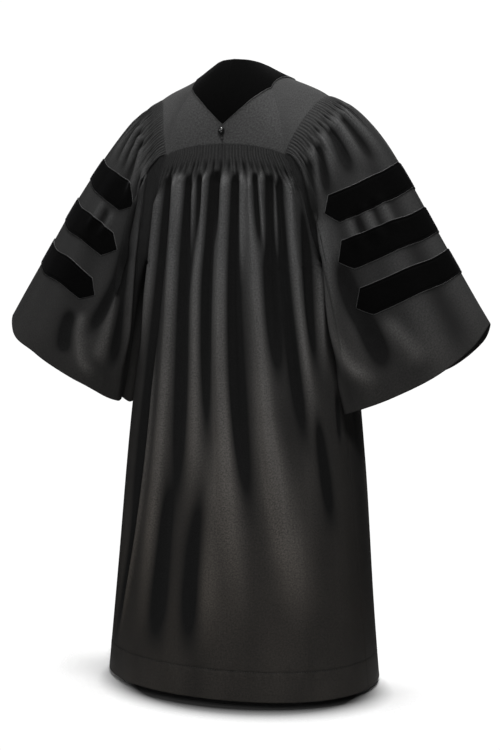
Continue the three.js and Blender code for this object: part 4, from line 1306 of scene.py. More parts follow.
@dataclass(frozen=True)
class SilkThread(Finish):
    """Black silk of the cords, the button's winding and the stitches."""

    name: str = "silk_thread"
    dark: float = 0.004
    light: float = 0.012
    roughness: float = 0.4
    coat: float = 0.0
    strand: float = 2400.0

    def make(self, effects: Effects) -> bpy.types.Material:
        """Builds the material.

        Args:
            effects: The shared node groups.

        Returns:
            The material.
        """
        material, graph, shader = self.open()
        place = graph.node("ShaderNodeTexCoord").outputs["Object"]
        drift = self.effect(graph, effects.drift, place, Scale=90.0)
        fibre = graph.noise(place, self.strand, 2.0, 0.6)
        tone = graph.math("MULTIPLY_ADD", fibre, 0.6, graph.math("MULTIPLY", drift.outputs["Broad"], 0.4))
        graph.put(shader.inputs["Base Color"], graph.blend(tone, grey(self.dark), grey(self.light)))
        graph.put(shader.inputs["Roughness"], graph.math("MULTIPLY_ADD", fibre, 0.16, self.roughness - 0.08))
        shader.inputs["Coat Weight"].default_value = self.coat
        shader.inputs["Coat Roughness"].default_value = 0.18
        self.bump(graph, shader, fibre, 0.0001, 0.5)
        return material


@dataclass
class Wardrobe:
    """The gown's finished materials."""

    twill: bpy.types.Material
    yoke_twill: bpy.types.Material
    velvet: bpy.types.Material
    cord: bpy.types.Material
    button: bpy.types.Material
    thread: bpy.types.Material

    @classmethod
    def open(cls) -> Wardrobe:
        """Makes every finish once."""
        effects = Effects()
        # Painted light: the yoke gets a lighter copy of the satin twill, standing in for the light that falls
        # on the top of the gown.
        yoke = SatinTwill(name="yoke_twill", dark=0.06, light=0.31, warm=0.0, roughness=0.52)
        button = SilkThread(name="wound_silk", dark=0.003, light=0.008, roughness=0.3, coat=0.6)
        return cls(
            twill=SatinTwill().make(effects),
            yoke_twill=yoke.make(effects),
            velvet=Velvet().make(effects),
            # Painted sheen: the edge cords get a lighter silk than the other threads, standing in for the
            # sheen of their silk.
            cord=SilkThread(name="edge_cord", dark=0.012, light=0.035).make(effects),
            button=button.make(effects),
            thread=SilkThread(name="sewing_thread", dark=0.006, light=0.016, roughness=0.5).make(effects),
        )


class NodeWork:
    """Geometry Nodes trees for what follows a path, and the plain meshes that they give."""

    def __init__(self) -> None:
        """Builds the trees."""
        self.cord = self._cord_tree()
        self.stitches = self._stitch_tree()

    @staticmethod
    def _tree(name: str, sizes: dict[str, float]) -> tuple[bpy.types.NodeTree, Graph, bpy.types.Node]:
        """New tree with a geometry input, float inputs and a material input.

        Args:
            name: The tree's name.
            sizes: Names and first values of its float inputs.

        Returns:
            The tree, its graph and its input node.
        """
        tree = bpy.data.node_groups.new(name, "GeometryNodeTree")
        tree.interface.new_socket("Geometry", in_out="INPUT", socket_type="NodeSocketGeometry")
        for label, value in sizes.items():
            socket = tree.interface.new_socket(label, in_out="INPUT", socket_type="NodeSocketFloat")
            socket.default_value = value
        tree.interface.new_socket("Material", in_out="INPUT", socket_type="NodeSocketMaterial")
        tree.interface.new_socket("Geometry", in_out="OUTPUT", socket_type="NodeSocketGeometry")
        graph = Graph(tree)
        return tree, graph, graph.node("NodeGroupInput")

    @staticmethod
    def _close(graph: Graph, entry: bpy.types.Node, geometry: bpy.types.NodeSocket) -> None:
        """Ends a tree in Realize Instances and Set Material."""
        whole = graph.node("GeometryNodeRealizeInstances", {"Geometry": geometry}).outputs[0]
        smooth = graph.node("GeometryNodeSetShadeSmooth", {"Geometry": whole}).outputs[0]
        inputs = {"Geometry": smooth, "Material": entry.outputs["Material"]}
        dressed = graph.node("GeometryNodeSetMaterial", inputs)
        graph.node("NodeGroupOutput", {"Geometry": dressed.outputs[0]})

    @staticmethod
    def _even(graph: Graph, entry: bpy.types.Node, step: str) -> bpy.types.NodeSocket:
        """The path as a curve with points a step apart."""
        curve = graph.node("GeometryNodeMeshToCurve", {"Mesh": entry.outputs["Geometry"]}).outputs[0]
        inputs = {"Curve": curve, "Length": entry.outputs[step]}
        return graph.node("GeometryNodeResampleCurve", inputs, mode="LENGTH").outputs[0]

    @classmethod
    def _cord_tree(cls) -> bpy.types.NodeTree:
        """Two-ply cord along a path."""
        sizes = {"Radius": 0.001, "Step": 0.0012, "Twist": 0.006, "Lobe": 0.22}
        tree, graph, entry = cls._tree("twisted_cord", sizes)
        even = cls._even(graph, entry, "Step")
        reached = graph.node("GeometryNodeSplineParameter").outputs["Length"]
        turned = graph.math("MULTIPLY", graph.math("DIVIDE", reached, entry.outputs["Twist"]), 2 * math.pi)
        tilted = graph.node("GeometryNodeSetCurveTilt", {"Curve": even, "Tilt": turned}).outputs[0]
        inputs = {"Resolution": 8, "Radius": entry.outputs["Radius"]}
        ring = graph.node("GeometryNodeCurvePrimitiveCircle", inputs)
        place = graph.node("GeometryNodeInputPosition").outputs[0]
        parts = graph.node("ShaderNodeSeparateXYZ", {0: place})
        angle = graph.math("ARCTAN2", parts.outputs[1], parts.outputs[0])
        wave = graph.math("COSINE", graph.math("MULTIPLY", angle, 2.0))
        lobe = graph.math("MULTIPLY", wave, entry.outputs["Lobe"])
        scale = graph.node("ShaderNodeVectorMath", {0: place}, operation="SCALE")
        graph.put(scale.inputs["Scale"], graph.math("ADD", lobe, 1.0))
        inputs = {"Geometry": ring.outputs[0], "Position": scale.outputs[0]}
        lobed = graph.node("GeometryNodeSetPosition", inputs)
        swept = graph.node(
            "GeometryNodeCurveToMesh",
            {"Curve": tilted, "Profile Curve": lobed.outputs[0], "Fill Caps": True},
        )
        cls._close(graph, entry, swept.outputs[0])
        return tree

    @classmethod
    def _stitch_tree(cls) -> bpy.types.NodeTree:
        """Row of stitches along a path."""
        tree, graph, entry = cls._tree("stitch_row", {"Spacing": 0.0055, "Length": 0.0034, "Radius": 0.00045})
        even = cls._even(graph, entry, "Spacing")
        bead = graph.node("GeometryNodeMeshUVSphere", {"Segments": 6, "Rings": 5, "Radius": 0.5})
        tangent = graph.node("GeometryNodeInputTangent").outputs[0]
        turned = graph.node("FunctionNodeAlignRotationToVector", {"Vector": tangent}, axis="Z")
        size = graph.node("ShaderNodeCombineXYZ")
        wide = graph.math("MULTIPLY", entry.outputs["Radius"], 2.0)
        for number, value in enumerate((wide, wide, entry.outputs["Length"])):
            graph.put(size.inputs[number], value)
        placed = graph.node(
            "GeometryNodeInstanceOnPoints",
            {
                "Points": even,
                "Instance": bead.outputs[0],
                "Rotation": turned.outputs[0],
                "Scale": size.outputs[0],
            },
        )
        cls._close(graph, entry, placed.outputs[0])
        return tree

    @staticmethod
    def run(
        name: str,
        tree: bpy.types.NodeTree,
        lines: Sequence[Array],
        material: bpy.types.Material,
        **sizes: float,
    ) -> bpy.types.Object:
        """Runs a tree along lines and keeps the plain mesh.

        Args:
            name: The piece's name.
            tree: The tree.
            lines: Points of each line, in millimetres.
            material: The finish.
            sizes: Values of the tree's inputs, in metres.

        Returns:
            The new object, with no modifier.
        """
        path = Mesher.path(name, lines)
        modifier = path.modifiers.new(name, "NODES")
        modifier.node_group = tree
        sockets = {item.name: item.identifier for item in tree.interface.items_tree if item.in_out == "INPUT"}
        modifier[sockets["Material"]] = material
        for label, value in sizes.items():
            modifier[sockets[label.capitalize()]] = float(value)
        path.data.update()
        graph = bpy.context.evaluated_depsgraph_get()
        mesh = bpy.data.meshes.new_from_object(path.evaluated_get(graph))
        path.modifiers.remove(modifier)
        old, path.data = path.data, mesh
        bpy.data.meshes.remove(old)
        mesh.name = name
        if not mesh.materials:
            mesh.materials.append(material)
        return path


Tools = tuple[Wardrobe, NodeWork]


def dress(
    piece: bpy.types.Object, material: bpy.types.Material | None, slot: str, *nodes: str
) -> bpy.types.Object:
    """Gives a piece its finish, its body and the nodes that it stands for.

    Args:
        piece: The piece.
        material: Its finish, or None where it has one already.
        slot: The record's material slot; not used.
        nodes: CAD nodes that it replaces.

    Returns:
        The same piece.
    """
    if material is not None:
        piece.data.materials.clear()
        piece.data.materials.append(material)
    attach(piece, BODY_NAME)
    if nodes:
        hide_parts(*nodes)
    log.info("%s: %d faces", piece.name, len(piece.data.polygons))
    return piece


def mirrored(points: Array, side: Side) -> Array:
    """Left-hand points as they are on the given side."""
    return points * np.array([float(side.value), 1.0, 1.0])


def rounded(distance: Array, radius: float) -> Array:
    """Share of the full thickness near a rounded border."""
    return np.sqrt(np.maximum(1 - (1 - np.clip(distance / radius, 0, 1)) ** 2, 0))


def sew_cord(
    name: str, line: Array, wardrobe: Wardrobe, work: NodeWork, radius: float = 0.0010, step: float = 0.0016
) -> bpy.types.Object:
    """Thin cord sewn along a velvet's edge.

    Args:
        name: The piece's name.
        line: Points of the edge, in millimetres.
        wardrobe: The finishes.
        work: The Geometry Nodes trees.
        radius: The cord's radius, in metres.
        step: Length of its segments, in metres.

    Returns:
        The cord.
    """
    cord = work.run(name, work.cord, [line], wardrobe.cord, radius=radius, step=step)
    return dress(cord, None, "velvet")


def lay_velvet(
    name: str, node: str, places: tuple[Array, Array], lift: Array, side: Side, wardrobe: Wardrobe
) -> bpy.types.Object:
    """Velvet laid flat on a cloth.

    Args:
        name: The piece's name.
        node: The CAD node that it replaces.
        places: Points of the cloth under it, and the normals there.
        lift: How far its outer face stands above each of them.
        side: The wearer's side.
        wardrobe: The finishes.

    Returns:
        The velvet.
    """
    points, normals = places
    outer = mirrored(points + normals * lift[..., None], side)
    inner = mirrored(points + normals * UNDER_VELVET, side)
    velvet = Mesher.wall(name, outer, inner, bulge=VELVET_BULGE)
    return dress(velvet, wardrobe.velvet, "velvet", node)


@dataclass
class Panel:
    """What the gathered back and fronts have in common.

    Attributes:
        body: The body's plain form.
        tuck: How far a panel reaches up under the yoke, and how far in.
        first_rows: The first rows, as distances below the seam.
        dense_from: Where the even rows of the held band start below the seam.
        hem_from: How far above the stitch line the rows of the hem begin.
        groove: Depth and half width of the hem's stitch line.
        seam_groove: Depth and half width of the groove beside a side seam.
        free_waves: Heights over which the low waves die away upwards.
    """

    body: Body
    tuck: ClassVar[tuple[float, float]] = (3.0, 2.2)
    first_rows: ClassVar[tuple[float, ...]] = (0.3, 2, 5, 9)
    dense_from: ClassVar[float] = 14.0
    hem_from: ClassVar[float] = 12.0
    groove: ClassVar[Range] = (0.7, 1.6)
    seam_groove: ClassVar[Range] = (0.5, 1.6)
    free_waves: ClassVar[Range] = (700, 1040)

    def rows(
        self, seam: float, band: float, steps: tuple[float, ...], ends: Range, hem: tuple[float, ...]
    ) -> Array:
        """Rows as heights, close together in the gathers and at the hem.

        Args:
            seam: Height of the gathered seam.
            band: Depth of the held band.
            steps: Steps in the held band, below it and in the open cloth.
            ends: Where the rows below the band end, and where those of the open cloth start.
            hem: The hem's rows, from the stitch line.

        Returns:
            The heights, falling.
        """
        even = np.arange(self.dense_from, band, steps[0])
        held = seam - np.concatenate([[-self.tuck[0], *self.first_rows], even])
        let_go = np.arange(seam - band, ends[0], -steps[1])
        open_cloth = np.arange(ends[1], HEM_HEIGHT + self.hem_from, -steps[2])
        return np.concatenate([held, let_go, open_cloth, HEM_HEIGHT + np.array(hem)])

    def sew(
        self,
        names: tuple[str, str, str],
        cloth: Cloth,
        side: Side,
        bulge: float,
        stitched: slice,
        tools: Tools,
    ) -> None:
        """Makes the panel and its hem stitches, and dresses both.

        Args:
            names: The panel's name, its stitches' name and the CAD node that it replaces.
            cloth: Its cloth, as on the left.
            side: The wearer's side.
            bulge: How round its border is.
            stitched: The columns that the stitches run over.
            tools: The finishes and the Geometry Nodes trees.
        """
        wardrobe, work = tools
        thick = np.where(-cloth.v < HEM_HEIGHT, HEM_WALL, WALL)[:, None, None]
        outer = mirrored(cloth.points, side)
        inner = mirrored(cloth.points - cloth.normals * thick, side)
        panel = Mesher.wall(names[0], outer, inner, bulge=bulge, fold=cloth.fold)
        dress(panel, wardrobe.twill, "cloth", names[2])
        row = int(np.argmin(np.abs(-cloth.v - HEM_HEIGHT)))
        line = mirrored((cloth.points + cloth.normals * STITCH_LIFT)[row, stitched], side)
        stitches = work.run(names[1], work.stitches, [line], wardrobe.thread)
        dress(stitches, None, "cloth")


BACK_CREASES = (
    Crease(((-9, 1126), (-9, 1086), (-7, 768), (-30, 449), (-77, 131)), 10, 11, 2.6, 0.05, 0.5),
    Crease(((-32, 1122), (-32, 1086), (-34, 834), (-53, 582), (-89, 330)), -9.5, 9, 2.4, 0.05, 0.5),
    Crease(((-45, 1120), (-46, 1060), (-50, 970), (-52, 860)), 7.5, 6.5, 1.3, 0.1, 0.6),
    Crease(((-63, 1120), (-63, 1086), (-91, 768), (-127, 449), (-171, 131)), 8, 9, 2.6, 0.05, 0.5),
    Crease(((-74, 1116), (-76, 1070), (-92, 930)), -9, 6, 1.2, 0.1, 0.6),
    Crease(((-86, 1118), (-88, 1060), (-106, 900)), 8, 7, 1.2, 0.1, 0.6),
    Crease(((-106, 1114), (-106, 1086), (-110, 937), (-121, 789), (-139, 640)), -9, 8.5, 1.9, 0.05, 0.5),
    Crease(((-115, 1112), (-116, 1060), (-128, 900)), 7, 6.5, 1.2, 0.1, 0.6),
    Crease(((-122, 1108), (-122, 1086), (-143, 884), (-169, 682), (-201, 480)), -7.5, 8, 2, 0.05, 0.5),
    Crease(((-141, 1104), (-141, 1086), (-159, 891), (-185, 695), (-217, 500)), 7, 10, 2, 0.05, 0.5),
    Crease(((-170, 1086), (-176, 944), (-187, 802), (-205, 660)), -7, 8, 1.6, 0.1, 0.5),
    Crease(((-190, 1080), (-194, 917), (-204, 783), (-222, 650)), 8, 9, 1.6, 0.1, 0.5),
    Crease(((8, 1122), (8, 1060), (6, 940)), -8, 6, 1.2, 0.1, 0.6),
    Crease(((17, 1124), (17, 1086), (26, 881), (23, 675), (10, 470)), -9, 8, 2.4, 0.05, 0.5),
    Crease(((36, 1122), (36, 1060), (38, 960), (43, 850)), 8, 6.5, 1.3, 0.1, 0.6),
    Crease(((49, 1120), (50, 1050), (58, 930), (66, 820)), -8.5, 6, 1.4, 0.1, 0.6),
    Crease(((60, 1120), (60, 1086), (48, 821), (46, 557), (54, 292)), 7, 9, 2.4, 0.08, 0.5),
    Crease(((73, 1118), (75, 1052), (80, 840), (81, 595), (90, 350)), -9, 8, 2.2, 0.05, 0.5),
    Crease(((90, 1112), (92, 1060), (104, 940)), 7, 7, 1.2, 0.1, 0.6),
    Crease(((104, 1112), (104, 1086), (117, 744), (142, 402), (179, 60)), 8, 9, 2.4, 0.05, 0.4),
    Crease(((125, 1104), (125, 1086), (153, 813), (183, 539), (215, 266)), -8, 9, 2, 0.05, 0.4),
    Crease(((146, 1080), (166, 927), (184, 793), (203, 660)), 8, 9, 1.8, 0.1, 0.5),
    Crease(((146, 800), (161, 547), (195, 293), (250, 40)), 4.5, 4.5, 1.6, 0.25, 0.3),
    Crease(((157, 790), (173, 540), (210, 290), (266, 40)), -5.5, 8, 1.5, 0.25, 0.3),
    Crease(((-201, 640), (-245, 330)), -4, 9, 1.8, 0.3, 0.5),
    Crease(((-232, 660), (-246, 520)), -4, 7, 1.2, 0.3, 0.5),
    Crease(((-115, 620), (-203, 120)), 4, 22, 1.6, 0.3, 0.5),
    Crease(((-8, 560), (12, 60)), 4, 24, 1.5, 0.3, 0.4),
    Crease(((22, 520), (54, 40)), -4, 20, 1.5, 0.3, 0.4),
    Crease(((100, 500), (141, 40)), -3.5, 20, 1.5, 0.3, 0.4),
)


@dataclass
class BackPanel(Panel):
    """Gathered back of the gown, from the yoke to the hem.

    Attributes:
        gathers: Its flutes and pinches.
        columns_per_flute: Columns in one flute.
        border: Extra columns beside each side seam, as shares of the half width.
        hem_rows: Rows of the hem, from the stitch line.
        fold_depth: Depth of the long folds beside their table.
        fold_top: Heights over which the long folds die away upwards.
        dip_from: Heights over which the rows begin to follow the seam's dip.
        held_sides: Shares of the half width over which the folds die away to the sides.
        pucker: Height, place below the stitch line and half width of the hem's puckers.
        half_width: Half the panel's width, for the seam's groove.
        flat: Cut of what shows, in metres; not used.
        flat_area: Its area; not used.
    """

    gathers: Gathers = field(default_factory=lambda: Gathers(flutes=46, seed=11))
    columns_per_flute: int = 6
    border: tuple[float, ...] = (0.0015, 0.003, 0.0045)
    hem_rows: tuple[float, ...] = (7, 3, 1.2, 0, -1.2, -3, -8, -18, -30, -42, -52, -58, -61.5, -63)
    fold_depth: float = 1.6
    fold_top: Range = (1092, 1132)
    dip_from: Range = (1050, 1125)
    held_sides: Range = (0.88, 0.985)
    pucker: tuple[float, float, float] = (0.4, 6, 9)
    half_width: float = 330.0
    flat: Range = (0.94, 1.19)
    flat_area: float = 0.86

    def shares(self) -> Array:
        """Columns, from the right seam (-1) to the left (1), close together at the seams."""
        even = np.linspace(-1, 1, self.gathers.flutes * self.columns_per_flute + 1)
        border = 1 - np.array(self.border)
        return np.unique(np.concatenate([even, border, -border]))

    def cloth(self) -> Cloth:
        """Outer points with every fold.

        Returns:
            The back's cloth.
        """
        body, shares = self.body, self.shares()
        heights = self.rows(body.back_seam, self.gathers.band, (4, 4.5, 11.5), (1040, 1036), self.hem_rows)
        share, height = np.meshgrid(shares, heights)
        level = height - body.back_seam_dip * share**2 * smoothstep(height, *self.dip_from)
        base = body.point(Face.BACK, share, np.minimum(level, body.seam_height(Face.BACK, share)))
        base[..., 2] = level
        normals = normal_of(lambda u, v: body.point(Face.BACK, u, v), share * 0.995, level, -1.0)
        below = body.seam_height(Face.BACK, share) - level
        rise = self.gathers.rise((share + 1) / 2 * self.gathers.flutes, np.maximum(below, 0))
        free = 1 - smoothstep(np.abs(share), *self.held_sides)
        fold = self.fold_depth * creased(base, BACK_CREASES, self._on_back)
        fold = fold * (1 - smoothstep(level, *self.fold_top))
        across = base[..., 0]
        waves = soft_waves(across, level, 5, 95, 0.55) * (1 - smoothstep(level, *self.free_waves))
        rise = rise + free * (fold + waves)
        rise = rise - self.groove[0] * bump(level - HEM_HEIGHT, self.groove[1])
        pucker = self.pucker[0] * np.sin(across / 3.7) * np.sin(across / 9.1 + 1)
        rise = rise + pucker * bump(level - HEM_HEIGHT + self.pucker[1], self.pucker[2])
        rise = rise - self.seam_groove[0] * bump((1 - np.abs(share)) * self.half_width, self.seam_groove[1])
        points = base + normals * rise[..., None]
        points[0] -= normals[0] * self.tuck[1]
        return Cloth(shares, -heights, points, normals, fold=rise)

    def _on_back(self, across: Array, height: Array) -> Array:
        """Points of the back's full section, so far to the wearer's left, at those heights."""
        half = np.abs(across)
        share = share_where(lambda at: self.body.full(Face.BACK, at, height)[..., 0] < half, half, 24)
        return self.body.full(Face.BACK, share, height) * stack(np.where(across < 0, -1.0, 1.0), 1, 1)

    def make(self, tools: Tools) -> None:
        """Builds and dresses the back with its hem stitches."""
        names = ("back_cloth", "back_hem_stitches", "back_panel")
        self.sew(names, self.cloth(), Side.LEFT, 1.6, slice(3, -3), tools)


FRONT_CREASES = (
    Crease(((0.12, 1110), (0.13, 990), (0.1, 800), (0.1, 560), (0.1, 240)), -7, 10, 2.4, 0.1, 0.5),
    Crease(((0.22, 1112), (0.24, 1020), (0.22, 900)), 5, 8, 1.4, 0.1, 0.6),
    Crease(((0.32, 1110), (0.31, 960), (0.29, 720), (0.27, 430), (0.26, 60)), 9, 13, 2.4, 0.1, 0.4),
    Crease(((0.42, 1108), (0.44, 1000), (0.41, 860)), -6, 8, 1.4, 0.1, 0.6),
    Crease(((0.52, 1106), (0.5, 960), (0.49, 720), (0.48, 420), (0.47, 200)), -8, 11, 2.4, 0.1, 0.5),
    Crease(((0.61, 1100), (0.6, 960), (0.58, 800)), 5, 9, 1.6, 0.1, 0.6),
    Crease(((0.7, 1090), (0.68, 940), (0.67, 700), (0.66, 400), (0.66, 60)), 8, 12, 2.4, 0.1, 0.4),
    Crease(((0.87, 1050), (0.86, 900), (0.86, 700), (0.86, 480)), -6, 10, 2, 0.1, 0.5),
)


@dataclass
class FrontPanel(Panel):
    """One gathered front with its velvet facing, from the yoke to the hem.

    Attributes:
        side: The wearer's side.
        gathers: Its flutes and pinches.
        columns: Columns beside the facing.
        facing_columns: Columns under the facing.
        facing_width: Width of the facing.
        border: Extra columns beside the side seam, in parts.
        facing_border: Extra columns beside the facing's edge, in parts.
        hem_rows: Rows of the hem, from the stitch line.
        fold_top: Heights over which the long folds die away upwards.
        held_sides: Parts over which the folds die away to the side seam.
        half_width: Width beside the facing, for the seam's groove.
        flat: Cut of what shows, in metres; not used.
        flat_area: Its area; not used.
        facing_flat: Cut of the facing; not used.
    """

    side: Side
    gathers: Gathers = field(default_factory=lambda: Gathers(flutes=7, seed=23))
    columns: int = 126
    facing_columns: int = 16
    facing_width: float = 100.0
    border: tuple[float, ...] = (0.0, 0.002, 0.0045, 0.008)
    facing_border: tuple[float, ...] = (0.97, 0.985, 1.015, 1.03)
    hem_rows: tuple[float, ...] = (7, 3, 1.2, 0, -1.2, -3, -10, -25, -42, -54, -60, -63)
    fold_top: Range = (1075, 1118)
    held_sides: Range = (1.88, 1.985)
    half_width: float = 300.0
    flat: Range = (0.56, 1.17)
    flat_area: float = 0.52
    facing_flat: Range = (0.105, 1.18)

    def facing_share(self, height: Array) -> Array:
        """Share of the front's section at which the facing ends."""

        def under(share: Array) -> Array:
            """Whether that share of the section lies under the facing."""
            return self.body.point(Face.FRONT, share, height)[..., 0] < self.facing_width

        return share_where(under, height, 30)

    def plain(self, part: Array, height: Array) -> Array:
        """Points of the front's plain form; part is 0 to 1 under the facing, then 1 to 2 to the side."""
        facing = self.facing_share(height)
        share = np.where(part <= 1, part * facing, mix(facing, 1.0, part - 1))
        point = self.body.point(Face.FRONT, share, height)
        point[..., 0] = np.maximum(point[..., 0], self.body.seam_gap / 2)
        return point

    def cloth(self) -> Cloth:
        """Outer points with every fold.

        Returns:
            The left front's cloth.
        """
        body, gathers = self.body, self.gathers
        parts = np.unique(
            np.concatenate(
                [
                    np.linspace(0, 1, self.facing_columns + 1),
                    np.linspace(1, 2, self.columns + 1),
                    2 - np.array(self.border),
                    np.array(self.facing_border),
                ]
            )
        )
        heights = self.rows(body.front_seam, gathers.band, (4.5, 6.5, 14), (1030, 1024), self.hem_rows)
        part, height = np.meshgrid(parts, heights)
        plain = self.plain(part, np.minimum(height, body.front_seam))
        normals = grid_normals(plain, False, -1.0)
        normals[0] = normals[1]
        base = plain.copy()
        base[..., 2] = height
        below = np.maximum(body.front_seam - height, 0)
        phase = np.clip((part - 1) * gathers.flutes, 0, gathers.flutes)
        rise = np.where(part > 1, gathers.rise(phase, below), 0.0)
        free = smoothstep(part, 1.0, 1.08) * (1 - smoothstep(part, *self.held_sides))
        folds = creased(base, FRONT_CREASES, lambda u, v: self.plain(1 + u, v))
        folds = folds * (1 - smoothstep(height, *self.fold_top))
        waves = soft_waves(base[..., 0] * 1.3, height, 9, 95, 0.5) * (1 - smoothstep(height, *self.free_waves))
        rise = rise + free * (folds + waves)
        stitched = smoothstep(part, 0.9, 1.05)
        rise = rise - self.groove[0] * bump(height - HEM_HEIGHT, self.groove[1]) * stitched
        rise = rise - self.seam_groove[0] * bump((2 - part) * self.half_width, self.seam_groove[1])
        points = base + normals * rise[..., None]
        points[0] -= normals[0] * self.tuck[1]
        return Cloth(parts, -heights, points, normals, fold=rise)

    def make(self, tools: Tools) -> None:
        """Builds and dresses the front, its stitches and its facing."""
        word = self.side.word
        cloth = self.cloth()
        names = (f"front_cloth_{word}", f"front_hem_stitches_{word}", f"front_panel_{word}")
        free = int(np.searchsorted(cloth.u, 1.04))
        self.sew(names, cloth, self.side, 1.2, slice(free, -3), tools)
        self._make_facing(cloth, *tools)

    def _make_facing(self, cloth: Cloth, wardrobe: Wardrobe, work: NodeWork) -> None:
        """Velvet facing, laid on the front.

        Args:
            cloth: The front's cloth.
            wardrobe: The finishes.
            work: The Geometry Nodes trees.
        """
        word = self.side.word
        near, far = [0, 0.006, 0.015, 0.03], [0.97, 0.985, 0.994, 1]
        across = np.concatenate([near, np.linspace(0.06, 0.94, 17), far])
        top, bottom = [-1149.2, -1148.4, -1147, -1144], [-6, -3, -1, -0.2]
        down = np.concatenate([top, -np.arange(1134, 14, -14), bottom])
        part, height = np.meshgrid(across, down)
        points, normals = cloth.at(part, height)
        border = np.minimum(np.minimum(part, 1 - part) * self.facing_width, height + self.body.front_seam)
        border = np.minimum(border, -height + 0.2)
        soft = 0.35 * np.sin(height / 37 + 3 * part) * np.sin(part * 9)
        lift = VELVET_LAY + VELVET_THICK * rounded(border + 0.35, 2.6) + soft * smoothstep(border, 2, 14)
        places = (points, normals)
        facing = lay_velvet(f"facing_velvet_{word}", f"facing_{word}", places, lift, self.side, wardrobe)
        line = mirrored((points + normals * 1.2)[1:-1, -1], self.side)
        cord = sew_cord(f"facing_cord_{word}", line, wardrobe, work, step=0.002)


